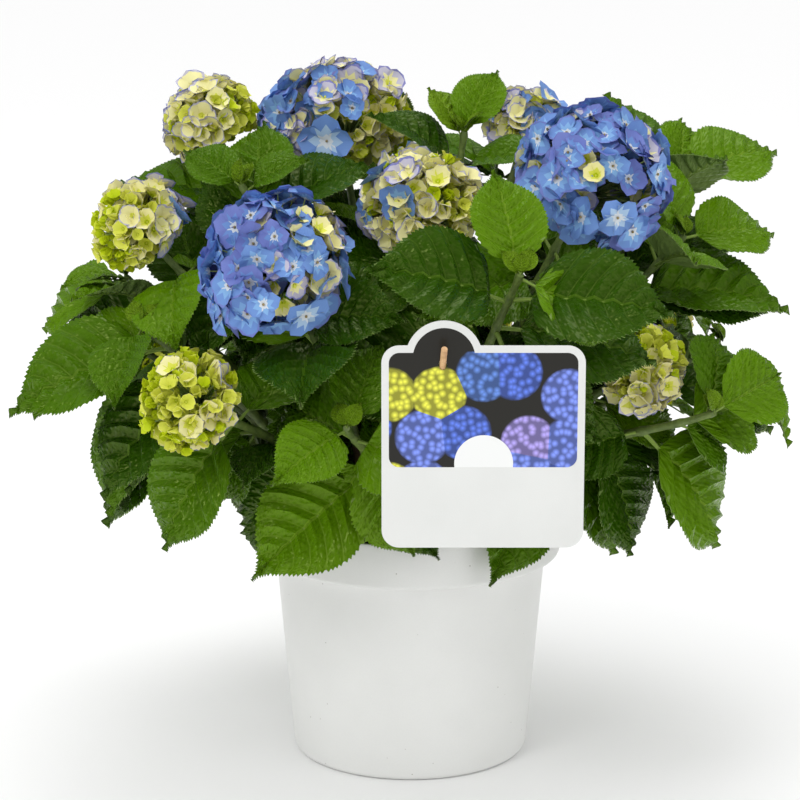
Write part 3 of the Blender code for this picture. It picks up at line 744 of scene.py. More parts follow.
# the leaves turned one by one: pair (0 is the top one), hand, compass way, slope, length and paint
# the paint is partly the leaf's own tint and partly painted light and shade: leaves lit from the front get
# fresh, leaves in shade get deep
turnedLeaves = {
    "front_shoot": (
        (0, 0, 5, -25, 0.088, "fresh"), (0, 1, 125, 78, 0.085, "fresh"), (1, 0, 355, 12, 0.120, "deep"),
        (1, 1, 215, 28, 0.112, "deep"), (2, 0, 0, 0, 0.120, "deep"),
    ),
    "far_left_shoot": (
        (0, 0, 160, -15, 0.100, "fresh"), (0, 1, 228, 22, 0.062, "fresh"), (1, 1, 245, 30, 0.086, "fresh"),
    ),
    "low_left_shoot": (
        (0, 0, 198, -10, 0.100, "full"), (1, 0, 205, -45, 0.125, "full"), (3, 1, 190, -48, 0.080, "full"),
    ),
    "left_shoot": (
        (1, 0, 198, -5, 0.130, "full"), (2, 0, 205, -40, 0.110, "deep"),
    ),
    "left_high_shoot": (
        (0, 0, 165, 40, 0.060, "full"), (0, 1, 345, 44, 0.056, "full"), (1, 0, 140, 66, 0.090, "full"),
        (1, 1, 30, 42, 0.100, "deep"), (2, 0, 190, -20, 0.115, "deep"), (2, 1, 145, 36, 0.100, "deep"),
    ),
    "top_shoot": (
        (0, 0, 35, 65, 0.064, "fresh"), (0, 1, 150, 66, 0.052, "young"), (1, 0, 335, 28, 0.078, "full"),
        (1, 1, 185, 52, 0.085, "deep"),
    ),
    "cream_top_left": ((1, 0, 70, 62, 0.090, "deep"),),
    "cream_left": ((1, 0, 125, 48, 0.100, "deep"),),
    "blue_top": (
        (1, 0, 150, 48, 0.080, "deep"), (1, 1, 65, 66, 0.100, "deep"),
    ),
    "cream_middle": ((1, 0, 155, 60, 0.100, "deep"),),
    "blue_front_left": ((0, 0, 290, 20, 0.085, "deep"),),
    "lime_low_left": (
        (0, 0, 200, -48, 0.113, "full"), (1, 0, 150, -50, 0.080, "full"), (2, 1, 245, 10, 0.075, "deep"),
    ),
    "low_front_shoot": (
        (2, 0, 325, -60, 0.090, "fresh"), (2, 1, 140, -60, 0.096, "fresh"),
        (3, 0, 220, -24, 0.125, "fresh"),
    ),
    "right_high_shoot": (
        (0, 0, 20, 25, 0.100, "fresh"), (0, 1, 50, 54, 0.070, "fresh"), (1, 0, 105, 66, 0.110, "full"),
        (1, 1, 325, 50, 0.090, "full"),
    ),
    "right_shoot": (
        (0, 0, 20, 12, 0.092, "fresh"), (2, 0, 350, 12, 0.126, "full"),
    ),
    "low_right_shoot": (
        (0, 0, 30, 20, 0.090, "fresh"), (0, 1, 75, 48, 0.084, "full"), (1, 1, 35, -20, 0.085, "full"),
        (2, 0, 0, -43, 0.132, "fresh"), (2, 1, 215, 12, 0.085, "deep"), (3, 0, 350, -60, 0.100, "deep"),
    ),
    "right_low_shoot": ((0, 0, 345, -33, 0.100, "fresh"),),
    "lime_low_right": (
        (1, 0, 325, -70, 0.132, "full"), (3, 0, 265, -24, 0.110, "full"),
    ),
}

leafPlan = {
    "petiole": 0.14, "petioleRadius": 0.0015,
    "width": 0.74, "thickness": 0.016, "fold": 13,
    "lowest": 0.150,
    "sections": ((0.24, 0.90), (0.62, 0.86)),
    "lightCentre": (0.0, 0.0, 0.24), "lightOutward": 0.62, "lightFrom": (0.0, -0.34, 0.36),
    "topDroop": 44, "outwardDroop": 20, "bend": 42, "steepest": 84, "sway": 8,
    "bloomSizes": (0.78, 0.94, 1.0, 1.0, 0.94, 0.88),
    "shootSizes": (0.64, 0.86, 1.0, 1.0, 0.94, 0.88),
    "lowerSlopes": (10, -4, -16, -26, -32),
    "searchTurns": (0, 12, -12, 24, -24, 38, -38),
    "searchRises": (0, 14, -14, 28, -28),
    "searchSizes": (1.0, 0.84, 0.70),
}

headPlan = {
    "height": 0.90, "under": 0.62,
    "solidFloret": 0.026, "solidLeast": 14,
    "spread": 0.74, "dish": 0.90, "valley": 0.80,
}

goldenAngle = math.pi * (3 - math.sqrt(5))


def tube(path, ways, radii, sides):
    # a round limb square to its path, closed at both ends
    points, faces = [], []
    side = Vector((1, 0, 0))
    for centre, way, radius in zip(path, ways, radii):
        along = way.normalized()
        side = (side - along * side.dot(along)).normalized()
        across = along.cross(side)
        for step in range(sides):
            angle = 2 * math.pi * step / sides
            points.append(centre + (side * math.cos(angle) + across * math.sin(angle)) * radius)
    faces.append(tuple(reversed(range(sides))))
    for ring in range(len(path) - 1):
        for step in range(sides):
            low, nextLow = ring * sides + step, ring * sides + (step + 1) % sides
            faces.append((low, nextLow, nextLow + sides, low + sides))
    last = (len(path) - 1) * sides
    faces.append(tuple(range(last, last + sides)))
    return points, faces


class Stem:
    def __init__(self, name):
        tip, self.head, self.turn, self.top, self.lift, self.pairs, self.leaf = stemPlans[name]
        self.name = name
        self.turned = {leaf[:2]: leaf[2:] for leaf in turnedLeaves.get(name, ())}
        self.tip = Vector(tip)
        self.facing = (self.tip - Vector(plantPlan["spreadCentre"])).normalized()
        flat = Vector((self.tip.x, self.tip.y, 0.0))
        self.plant(flat.normalized() * min(flat.length * plantPlan["footRing"], plantPlan["footRingMost"]))

    def plant(self, foot):
        self.foot = Vector((foot.x, foot.y, plantPlan["soilTop"] + plantPlan["gap"]))
        reach = (self.tip - self.foot).length
        self.pullFoot = self.foot + Vector((foot.x * 0.5, foot.y * 0.5, reach * 0.42))
        self.pullTip = self.tip - self.facing * reach * 0.30
        self.samples = [self.point(step / 64) for step in range(65)]

    def point(self, share):
        rest = 1.0 - share
        return (
            self.foot * rest**3
            + self.pullFoot * (3 * rest**2 * share)
            + self.pullTip * (3 * rest * share**2)
            + self.tip * share**3
        )

    def way(self, share):
        rest = 1.0 - share
        return (
            (self.pullFoot - self.foot) * rest**2
            + (self.pullTip - self.pullFoot) * (2 * rest * share)
            + (self.tip - self.pullTip) * share**2
        )

    def belowTip(self, distance):
        left = distance
        for step in range(64, 0, -1):
            span = (self.samples[step] - self.samples[step - 1]).length
            if left <= span:
                return (step - left / span) / 64
            left -= span
        return 0.0

    def radius(self, share):
        return plantPlan["footRadius"] + (plantPlan["tipRadius"] - plantPlan["footRadius"]) * share

    def nodeDepths(self):
        depth = plantPlan["firstNodeShoot"]
        if self.head:
            depth = self.head * headPlan["height"] / 2 + plantPlan["firstNodeBloom"]
        depths = []
        for pair in range(self.pairs):
            depths.append(depth)
            depth += plantPlan["spacing"][pair]
        return depths

    def limb(self, start, end, sides, extra=0.0):
        rings = plantPlan["limbRings"]
        shares = [start + (end - start) * step / rings for step in range(rings + 1)]
        path = [self.point(share) for share in shares]
        ways = [self.way(share) for share in shares]
        return tube(path, ways, [self.radius(share) + extra for share in shares], sides)

    def barePart(self):
        end = self.belowTip(self.nodeDepths()[-1] + plantPlan["bareBelow"] + plantPlan["gap"])
        points, faces = self.limb(0.0, end, plantPlan["boughSides"])
        for point in points[:plantPlan["boughSides"]]:
            point.z = self.foot.z
        return points, faces

    def leafyPart(self):
        start = self.belowTip(self.nodeDepths()[-1] + plantPlan["bareBelow"])
        return self.limb(start, 1.0, plantPlan["twigSides"])


def settleFeet(stems, heads):
    settled = []
    for stem in stems:
        wanted = stem.foot.copy()
        others = settled + [BVHTree.FromPolygons(*head) for name, head in heads.items() if name != stem.name]
        for step in range(200):
            away = plantPlan["footStray"] * math.sqrt(step)
            stem.plant(wanted + Vector((*ringPoint(away, goldenAngle * step), 0.0)))
            limb = stem.limb(0.0, 1.0, plantPlan["boughSides"], plantPlan["stemClear"])
            tree = BVHTree.FromPolygons(*limb)
            if not any(tree.overlap(other) for other in others):
                break
        settled.append(tree)


class Leaf:
    def __init__(self, root, turn, rise, length):
        self.root = root
        self.length = length
        self.paint = None
        turn, rise = math.radians(turn), math.radians(rise)
        flat = Vector((*ringPoint(1.0, turn), 0.0))
        self.along = flat * math.cos(rise) + Vector((0.0, 0.0, math.sin(rise)))
        light = (root - Vector(leafPlan["lightCentre"])).normalized() * leafPlan["lightOutward"]
        light += Vector(leafPlan["lightFrom"])
        self.up = (light - self.along * light.dot(self.along)).normalized()
        self.side = self.along.cross(self.up)

    def frame(self, share):
        bend = math.radians(leafPlan["bend"])
        sine, cosine = math.sin(bend * share), math.cos(bend * share)
        place = self.root + (self.along * sine - self.up * (1 - cosine)) * (self.length / bend)
        return place, self.side, self.up * cosine + self.along * sine

    def solid(self):
        # the plain leaf of the solids, used to keep leaves clear of each other
        points = []
        thin = leafPlan["petioleRadius"]
        for share in (0.0, leafPlan["petiole"]):
            place, side, normal = self.frame(share)
            points += [
                place + side * thin + normal * thin * 0.5,
                place - side * thin + normal * thin * 0.5,
                place - normal * thin,
            ]
        blade = 1 - leafPlan["petiole"]
        for share, wide in leafPlan["sections"]:
            place, side, normal = self.frame(leafPlan["petiole"] + blade * share)
            half = 0.5 * leafPlan["width"] * blade * self.length * wide
            lift = normal * half * math.tan(math.radians(leafPlan["fold"]))
            thick = normal * leafPlan["thickness"] * self.length
            points += [place + side * half + lift, place - side * half + lift, place, place - thick]
        points.append(self.frame(1.0)[0])
        faces = [(0, 1, 2), (0, 3, 4, 1), (1, 4, 5, 2), (2, 5, 3, 0)]
        faces += [(3, 6, 8), (3, 8, 4), (4, 8, 7), (4, 7, 9), (4, 9, 5), (5, 9, 3), (3, 9, 6)]
        faces += [(6, 10, 12, 8), (8, 12, 11, 7), (7, 11, 13, 9), (9, 13, 10, 6)]
        faces += [(10, 14, 12), (12, 14, 11), (11, 14, 13), (13, 14, 10)]
        return points, faces

    def bladeTree(self):
        points, faces = self.solid()
        return BVHTree.FromPolygons(points, [face for face in faces if min(face) > 5])


def spiralPoints(count, stray, draw):
    # spread evenly over a ball
    for index in range(count):
        height = 1 - 2 * (index + 0.5) / count
        angle = goldenAngle * index + draw.uniform(-stray, stray)
        yield *ringPoint(math.sqrt(1 - height * height), angle), height


def headPoint(stem, direction, share):
    # a point of a flower head's skin, from a direction in the head's own frame
    flat = direction.normalized() * share * stem.head / 2
    flat.z *= headPlan["height"] * (headPlan["under"] if flat.z < 0 else 1.0)
    return stem.tip + stem.facing.to_track_quat("Z", "Y") @ flat


def headSolid(stem):
    # the plain flower head of the solids
    draw = random.Random(stem.name + " florets")
    hull = bmesh.new()
    florets = max(headPlan["solidLeast"], round((stem.head / headPlan["solidFloret"]) ** 2))
    for point in spiralPoints(florets, 0.12, draw):
        hull.verts.new(point)
    bmesh.ops.convex_hull(hull, input=hull.verts)
    hull.faces.ensure_lookup_table()
    points = [headPoint(stem, face.calc_center_median(), headPlan["valley"]) for face in hull.faces]
    faces = []
    for vertex in hull.verts:
        size = draw.uniform(0.95, 1.03)
        ring, loop = [], vertex.link_loops[0]
        while loop.face not in ring:
            ring.append(loop.face)
            loop = loop.link_loop_prev.link_loop_radial_next
        middle = len(points)
        points.append(headPoint(stem, vertex.co, headPlan["dish"] * size))
        for face in ring:
            corner = vertex.co.lerp(face.calc_center_median(), headPlan["spread"])
            points.append(headPoint(stem, corner, size))
        for index, face in enumerate(ring):
            after = (index + 1) % len(ring)
            here, there = middle + 1 + index, middle + 1 + after
            faces.append((middle, here, there))
            faces.append((here, face.index, ring[after].index, there))
    hull.free()
    return points, faces


class Space:
    def __init__(self):
        self.taken, self.blades, self.heads = [], [], []

    def add(self, owner, points, faces):
        self.taken.append((owner, BVHTree.FromPolygons(points, faces)))

    def addNode(self, name):
        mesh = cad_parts[name].data
        points = [vertex.co for vertex in mesh.vertices]
        self.add(name, points, [tuple(face.vertices) for face in mesh.polygons])

    def addLeaf(self, owner, leaf):
        self.add(owner, *leaf.solid())
        self.blades.append((owner, leaf.bladeTree()))

    def clear(self, owner, leaf):
        points, faces = leaf.solid()
        if min(point.z for point in points) < leafPlan["lowest"]:
            return False
        for stem in self.heads:
            if any((point - stem.tip).length < stem.head * 0.5 for point in points[3:]):
                return False
        tree = BVHTree.FromPolygons(points, faces)
        if any(name != owner and tree.overlap(other) for name, other in self.taken):
            return False
        blade = leaf.bladeTree()
        return not any(name == owner and blade.overlap(other) for name, other in self.blades)


def leafOf(stem, pair, hand, turn, rise, size):
    sizes = leafPlan["bloomSizes"] if stem.head else leafPlan["shootSizes"]
    root = stem.point(stem.belowTip(stem.nodeDepths()[pair] + 0.003 * hand))
    if (pair, hand) in stem.turned:
        azimuth, slope, length, paint = stem.turned[pair, hand]
        leaf = Leaf(root, azimuth + turn, slope + rise, length * size)
        leaf.paint = paint
        return leaf
    azimuth = stem.turn + 90 * pair + 180 * hand + turn
    way = Vector(ringPoint(1.0, math.radians(azimuth)))
    outwardness = way.dot(root.xy) / max(root.xy.length, 0.1)
    if pair == 0:
        slope = stem.top - leafPlan["topDroop"] * outwardness
    else:
        slope = leafPlan["lowerSlopes"][pair - 1] + stem.lift - leafPlan["outwardDroop"] * outwardness
    return Leaf(root, azimuth, min(slope + rise, leafPlan["steepest"]), stem.leaf * sizes[pair] * size)


def firstClear(stem, pair, hand, sway, nod, space):
    for size in leafPlan["searchSizes"]:
        for rise in leafPlan["searchRises"]:
            for turn in leafPlan["searchTurns"]:
                leaf = leafOf(stem, pair, hand, turn + sway, rise + nod, size)
                if space.clear(stem.name, leaf):
                    return leaf
    return None


def growLeaves(stems, space):
    grown = {stem.name: [] for stem in stems}
    draws = {stem.name: random.Random(stem.name + " leaves") for stem in stems}
    places = [
        (stem, pair, hand)
        for pair in range(max(stem.pairs for stem in stems))
        for stem in stems
        for hand in (0, 1)
        if pair < stem.pairs
    ]
    for stem, pair, hand in sorted(places, key=lambda place: place[1:] not in place[0].turned):
        sway = nod = 0.0
        if (pair, hand) not in stem.turned:
            sway, nod = [draws[stem.name].uniform(-leafPlan["sway"], leafPlan["sway"]) for _ in range(2)]
        found = firstClear(stem, pair, hand, sway, nod, space)
        if found:
            found.pair = pair
            grown[stem.name].append(found)
            space.addLeaf(stem.name, found)
    return grown


def growPlant():
    stems = [Stem(name) for name in stemPlans]
    heads = {stem.name: headSolid(stem) for stem in stems if stem.head}
    settleFeet(stems, heads)
    space = Space()
    for name in ("pot", "soil", "label_card", "label_peg"):
        space.addNode(name)
    for stem in stems:
        space.add("stem_" + stem.name, *stem.barePart())
        space.add(stem.name, *stem.leafyPart())
        if stem.head:
            space.add(stem.name, *heads[stem.name])
            space.heads.append(stem)
    return stems, growLeaves(stems, space)


stems, grown = growPlant()
print("plant grown:", len(stems), "stems,", sum(len(leaves) for leaves in grown.values()), "leaves")


# the stems' bark

barkPlan = {
    "sides": 12,
    "ringSpacing": 0.004,
    "woodyShare": 0.30,          # the lowest part is brown and woody
    "swelling": 0.28, "swellReach": 0.0035,      # at each pair of leaves
    "flare": 0.35, "flareRings": 3.0,            # at the soil
    "relief": 0.10, "grainAcross": 1.7, "grainAlong": 0.35,
    "sunk": 0.004,
    "insideHead": 0.22,          # a flowering stem ends this far short of the head's middle
    "looks": {
        "woodyBark": ((0.060, 0.032, 0.018), (0.230, 0.135, 0.070), (0.7, 0.9), 160.0, 1100.0, 0.0006),
        "greenBark": ((0.060, 0.100, 0.018), (0.170, 0.240, 0.050), (0.4, 0.6), 220.0, 1300.0, 0.0003),
    },
}


def makeStems():
    wood = Growth()
    for stem in stems:
        length = sum((b - a).length for a, b in zip(stem.samples, stem.samples[1:]))
        rings = int(length / barkPlan["ringSpacing"])
        nodeShares = [stem.belowTip(depth) for depth in stem.nodeDepths()]
        end = stem.belowTip(stem.head * barkPlan["insideHead"]) if stem.head else 1.0
        path, ways, radii = [], [], []
        for ring in range(rings + 1):
            share = end * ring / rings
            centre = stem.point(share)
            if ring == 0:
                centre = centre - Vector((0, 0, barkPlan["sunk"]))
            near = min(abs(share - node) * length for node in nodeShares)
            swell = 1 + barkPlan["swelling"] * math.exp(-((near / barkPlan["swellReach"]) ** 2))
            flare = 1 + barkPlan["flare"] * math.exp(-ring / barkPlan["flareRings"])
            path.append(centre)
            ways.append(stem.way(share))
            radii.append(stem.radius(share) * swell * flare)
        limb, sides = tube(path, ways, radii, barkPlan["sides"])
        for index, point in enumerate(limb):
            ring, turn = divmod(index, barkPlan["sides"])
            spot = Vector((turn * barkPlan["grainAcross"], ring * barkPlan["grainAlong"], len(stem.name)))
            rough = noise.noise(spot) * barkPlan["relief"]
            limb[index] = path[ring] + (point - path[ring]) * (1 + rough)
        woody = rings * barkPlan["woodyShare"] * (1 + 0.4 * noise.noise(stem.foot * 90))
        wood.add(limb, sides, [0 if min(side) // barkPlan["sides"] < woody else 1 for side in sides])
    piece = wood.make("stems", [mottledMaterial(name, *look) for name, look in barkPlan["looks"].items()])
    smooth(piece, 60)
    rideRoot(piece, "green_stem", *["stem_" + stem.name for stem in stems])


makeStems()
print("stems made")


# the leaves

bladePlan = {
    "cells": 8,                  # side veins to a half
    "veinStrip": 0.080,          # share of a cell that is the vein itself
    "columns": (0.0, 0.034, 0.36, 0.72, 1.0),
    "sweep": 0.45,               # how far a side vein runs forward
    "sweepPowers": (0.35, 0.9), "veinCurve": 1.25,
    "quilt": 0.054,              # how far the blade swells between the veins
    "quiltStart": 0.15,          # how much of that it has at the rib
    "ribDepth": 0.006, "ribShare": 0.06,         # the midrib's groove and reach
    "teeth": ((0.36, 0.50), (0.86, 1.0)),   # tip and foot of each tooth along a half cell's margin
    "toothHeight": 0.016, "toothLeast": 0.012,   # no teeth on a shorter stretch of margin
    "thickness": 0.005,
    "stalkRadius": 0.0125,
    "stalkSides": 6,
    "stalkReach": 0.80,          # it runs on under the blade as its midrib
    "stalkSwelling": 0.25, "stalkTaper": 0.72, "stalkSink": 0.008,
    "stalkCuts": (0.05, 0.12, 0.2, 0.3, 0.4, 0.5, 0.6, 0.7),
    "wave": 0.030,               # how far the margin waves up and down
    "waves": (9, 15),
    "twist": 0.10, "foldStray": (-0.06, 0.10),
    "tipLeaves": ((0.022, 62), (0.017, 72), (0.011, 80)),    # length and slope, at the end of a shoot
    "tipSpacing": 0.004,
}

# deep, full and fresh are darker and lighter copies of one leaf colour, partly the leaves' own tints and
# partly painted light and shade; young is the tint of new leaves
leafPaints = {                   # blade, midrib, side veins
    "deep": ((0.022, 0.070, 0.001), (0.056, 0.132, 0.005), (0.034, 0.092, 0.002)),
    "full": ((0.055, 0.140, 0.001), (0.096, 0.195, 0.008), (0.074, 0.166, 0.004)),
    "fresh": ((0.092, 0.206, 0.002), (0.150, 0.275, 0.013), (0.120, 0.240, 0.007)),
    "young": ((0.135, 0.250, 0.006), (0.200, 0.320, 0.025), (0.158, 0.275, 0.012)),
}
leafFinish = {"gloss": 0.46, "glossTint": (0.85, 1.0, 0.30), "relief": 1.0}
leafPieces = {"leavesUpper": 1, "leavesMiddle": 3, "leavesLower": 9}     # each has the pairs below this
# roughness, cells of the crumpled net across the map, relief
leafLooks = {"Blade": (0.25, 38.0, 0.0014), "Midrib": (0.40, 90.0, 0.0001), "Vein": (0.40, 90.0, 0.0001)}
underLooks = {                   # the same after their one paint
    "paleUnderside": ((0.170, 0.260, 0.070), 0.55, 38.0, 0.0010),
    "leafStalk": ((0.200, 0.300, 0.060), 0.40, 90.0, 0.0001),
}


def bladeHalfWidth(along):
    # a round foot and a drawn-out tip, as a share of its widest
    if along <= 0 or along >= 1:
        return 0.0
    return math.sin(math.pi * along**0.76) ** (0.72 + 1.25 * along**3)


def bladeRows():
    # where each row leaves the rib, and how far the blade swells there
    rows = [(0.0, 0.0)]
    for cell in range(bladePlan["cells"]):
        strip = bladePlan["veinStrip"] / 2
        for within, swell in ((strip, 0.0), (0.5, 1.0), (1 - strip, 0.0)):
            rows.append(((cell + within) / bladePlan["cells"], swell))
    rows.append((1.0, 0.0))
    return rows


def modelBlade():
    # half a blade from a grid, its margin cut into teeth, mirrored and given its thickness
    rows, columns = bladeRows(), bladePlan["columns"]
    petiole = leafPlan["petiole"]
    half = 0.5 * leafPlan["width"] * (1 - petiole)
    fold = math.tan(math.radians(leafPlan["fold"]))
    nothingSelected()
    bpy.ops.mesh.primitive_grid_add(x_subdivisions=len(columns) - 1, y_subdivisions=len(rows) - 1, size=2)
    blade = bpy.context.object
    shape = openMesh(blade)
    uvLayer = shape.loops.layers.uv.active
    grid = {}
    for vertex in list(shape.verts):
        column = round((vertex.co.x + 1) / 2 * (len(columns) - 1))
        row = round((vertex.co.y + 1) / 2 * (len(rows) - 1))
        grid[column, row] = vertex
        (start, swell), out = rows[row], columns[column]
        early, late = bladePlan["sweepPowers"]
        sweep = bladePlan["sweep"] * start**early * (1 - start) ** late if 0 < start < 1 else 0.0
        along = start + sweep * out ** bladePlan["veinCurve"]
        x = out * half * bladeHalfWidth(along)
        bulge = min(bladePlan["quiltStart"] + out * (1 - bladePlan["quiltStart"]), 1.0)
        puff = bladePlan["quilt"] * swell * math.sin(math.pi * bulge) ** 0.7
        groove = bladePlan["ribDepth"] if column == 0 else 0.0
        for corner in vertex.link_loops:
            corner[uvLayer].uv = (out, start)
        vertex.co = (x, petiole + (1 - petiole) * along, x * fold + puff - groove)
    for face in shape.faces:
        middle = face.calc_center_median()
        low = min(row for (column, row), vertex in grid.items() if vertex in face.verts)
        nextToRib = any(vertex.co.x == 0 for vertex in face.verts) and middle.x < half * bladePlan["ribShare"]
        onVein = low % 3 == 0 and 0 < low < len(rows) - 2
        face.material_index = 1 if nextToRib else 2 if onVein else 0
    last = len(columns) - 1
    for row in range(len(rows) - 1):
        margin = (grid[last, row].co - grid[last, row + 1].co).length
        if row % 3 != 0 and margin > bladePlan["toothLeast"]:
            cutTeeth(shape, grid[last, row], grid[last, row + 1])
    bmesh.ops.remove_doubles(shape, verts=shape.verts, dist=0.0005)
    closeMesh(blade)
    mirrored = blade.modifiers.new("bothHalves", "MIRROR")
    mirrored.merge_threshold = 0.0005
    walled = blade.modifiers.new("thickness", "SOLIDIFY")
    walled.thickness = bladePlan["thickness"]
    walled.offset = -1.0
    walled.material_offset = 3
    walled.material_offset_rim = 3
    for index in range(6):
        blade.data.materials.append(None)
    applyModifiers(blade)
    return blade


def cutTeeth(shape, low, high):
    start, span = low.co.copy(), high.co - low.co
    out = Vector((span.y, -span.x, 0.0)).normalized() * bladePlan["toothHeight"]
    before = low
    for tip, foot in bladePlan["teeth"]:
        for share, height in ((tip, 1.0), (foot, 0.0)):
            if share < 1.0:
                edge = shape.edges.get((before, high))
                before = bmesh.utils.edge_split(edge, before, 0.5)[1]
                before.co = start + span * share + out * height


def modelStalk():
    # a tapering limb from a cylinder, sunk below the blade from where that starts
    nothingSelected()
    reach = bladePlan["stalkReach"]
    bpy.ops.mesh.primitive_cylinder_add(
        vertices=bladePlan["stalkSides"], radius=bladePlan["stalkRadius"], depth=reach,
        location=(0, reach / 2, 0), rotation=(math.pi / 2, 0, 0),
    )
    stalk = bpy.context.object
    settle(stalk)
    for index in range(7):
        stalk.data.materials.append(None)
    shape = openMesh(stalk)
    for height in bladePlan["stalkCuts"]:
        bmesh.ops.bisect_plane(shape, geom=shape.verts[:] + shape.edges[:] + shape.faces[:],
                               plane_co=(0, height, 0), plane_no=(0, 1, 0))
    for vertex in shape.verts:
        share = vertex.co.y / reach
        thin = 1 + bladePlan["stalkSwelling"] * (1 - min(share / 0.1, 1.0))
        thin -= bladePlan["stalkTaper"] * max(0.0, share - 0.1)
        under = bladePlan["stalkSink"] * min(1.0, max(0.0, (share - 0.08) / 0.12))
        vertex.co = (vertex.co.x * thin, vertex.co.y, vertex.co.z * thin - under)
    for face in shape.faces:
        face.material_index = 6
    closeMesh(stalk)
    return stalk


def leafPattern():
    blade, stalk = readPattern(modelBlade()), readPattern(modelStalk())
    count = len(blade["points"])
    return {
        "points": np.concatenate([blade["points"], stalk["points"]]),
        "faces": blade["faces"] + [tuple(count + index for index in face) for face in stalk["faces"]],
        "slots": blade["slots"] + stalk["slots"],
        "uvs": blade["uvs"] + stalk["uvs"],
    }


def placedLeaf(leaf, pattern, draw):
    # the pattern laid along the leaf's arc, with its own wave, twist and fold
    points = pattern["points"]
    x, y, z = points[:, 0], points[:, 1], points[:, 2]
    half = 0.5 * leafPlan["width"]
    out = np.clip(np.abs(x) / half, 0, 1)
    phase, beat = draw.uniform(0, 6.28), draw.uniform(*bladePlan["waves"])
    wave = bladePlan["wave"] * draw.uniform(0.5, 1.0) * out**2 * np.sin(y * beat + phase + np.sign(x) * 0.9)
    z = z + wave + draw.uniform(-1, 1) * bladePlan["twist"] * x * y
    z += draw.uniform(*bladePlan["foldStray"]) * np.abs(x)
    bend = math.radians(leafPlan["bend"])
    angle = bend * y
    along, up, side = (np.array(vector)[None, :] for vector in (leaf.along, leaf.up, leaf.side))
    sine, cosine = np.sin(angle)[:, None], np.cos(angle)[:, None]
    place = np.array(leaf.root)[None, :] + (along * sine - up * (1 - cosine)) * (leaf.length / bend)
    normal = up * cosine + along * sine
    return behindCard(place + side * (x * leaf.length)[:, None] + normal * (z * leaf.length)[:, None])


def behindCard(place):
    # a tip that would come through the card stays against its back
    x, y, z = place.T
    over = (x > cardPlan["left"]) & (x < cardPlan["right"]) & (z > cardPlan["foot"]) & (z < cardPlan["head"])
    back = cardPlan["front"] + cardPlan["thickness"] + cardPlan["leafClear"]
    place[:, 1] = np.where(over, np.maximum(y, back), y)
    return place


def leafKind(stem, leaf, draw):
    # the upper pairs are fresher and the ones deep in the plant darker: partly the leaves' own tints, partly
    # painted light and painted shade
    if leaf.paint:
        return leaf.paint
    if leaf.pair == 0 and not stem.head:
        return draw.choice(("fresh", "fresh", "full"))
    if leaf.pair <= 1:
        return draw.choice(("full", "full", "fresh", "deep"))
    if leaf.pair == 2:
        return draw.choice(("full", "deep"))
    return draw.choice(("deep", "deep", "full"))


def shootTip(stem):
    # the tiny unfolded leaves at the end of a leafy shoot
    tips = []
    for step, (length, rise) in enumerate(bladePlan["tipLeaves"]):
        for hand in (0, 1):
            root = stem.point(1.0 - bladePlan["tipSpacing"] * step)
            leaf = Leaf(root, stem.turn + 90 + 90 * step + 180 * hand, rise, length)
            leaf.pair = -1
            tips.append(leaf)
    return tips


def makeLeaves():
    pattern = leafPattern()
    print("leaf pattern", len(pattern["faces"]), "faces")
    kinds = list(leafPaints)
    materials = []
    for kind, paints in leafPaints.items():
        for (part, look), paint in zip(leafLooks.items(), paints):
            materials.append(leafMaterial(kind + part, paint, *look))
    materials += [leafMaterial(name, *look) for name, look in underLooks.items()]
    heaps = {name: Growth() for name in leafPieces}
    for stem in stems:
        draw = random.Random(stem.name + " blades")
        tips = [] if stem.head else shootTip(stem)
        for leaf in grown[stem.name] + tips:
            kind = "young" if leaf.pair < 0 else leafKind(stem, leaf, draw)
            first, last = 3 * kinds.index(kind), 3 * len(kinds)
            slotOf = (first, first + 1, first + 2, last, last + 1, last, last + 1)
            heap = heaps[next(name for name, below in leafPieces.items() if leaf.pair < below)]
            slots = [slotOf[slot] for slot in pattern["slots"]]
            heap.add(placedLeaf(leaf, pattern, draw), pattern["faces"], slots, pattern["uvs"])
    sprays = ["spray_" + stem.name for stem in stems]
    for name, heap in heaps.items():
        piece = heap.make(name, materials)
        smooth(piece, 50)
        rideRoot(piece, "leaf", *sprays)


makeLeaves()
print("leaves made")


# the flower heads

floretPlan = {
    # for each line across a sepal, how far along it stands in the middle, at the valley between two
    # rays, at the side ray and at the rim
    "lines": ((0.0, 0.0, 0.0, 0.0), (0.26, 0.15, 0.21, 0.12), (0.62, 0.34, 0.54, 0.38),
              (0.87, 0.84, 0.82, 0.76), (1.0, 1.0, 1.0, 1.0)),
    "across": (0.0, 0.36, 0.74, 1.0),
    "paintOf": ((0, 0, 0), (1, 1, 2), (2, 2, 3), (3, 3, 4)),    # from the eye to the tip, middle to rim
    "halfWidth": 0.55,           # of a sepal, as a share of its length
    "claw": 0.12,
    "size": 0.0148,              # length of a sepal on an open floret
    "sizes": (0.80, 1.22),
    "spacing": 0.0172,           # between the middles of open florets
    "stand": (0.86, 0.98),       # where a floret's rim stands, as a share of the head's radius
    "innerShare": 0.35,          # florets of the layer underneath, for each one outside
    "innerStand": (0.70, 0.80),
    "lowest": -0.86,             # none further round towards the stem
    "tilt": 0.58,
    "patches": 0.17,             # how much riper or greener the head is in places
    "largeStand": (1.00, 1.00), "largeClear": 0.93,
    "riseStray": (-0.12, 0.12), "bow": (0.0, 0.95), "ruffle": 0.05, "sepalSizes": (0.92, 1.06),
    "curl": (-0.9, 0.1),         # how a sepal bends on from its eye, in radians
    "lap": 0.0012,               # how far two of the four sepals' tips lie above the others
    "bud": 0.0011,
    "pedicel": 0.00055, "pedicelRoot": (0.10, 0.24), "pedicelBow": 0.04,
}

petalFinish = {"roughness": 0.55, "gloss": 0.22, "relief": 0.0003}

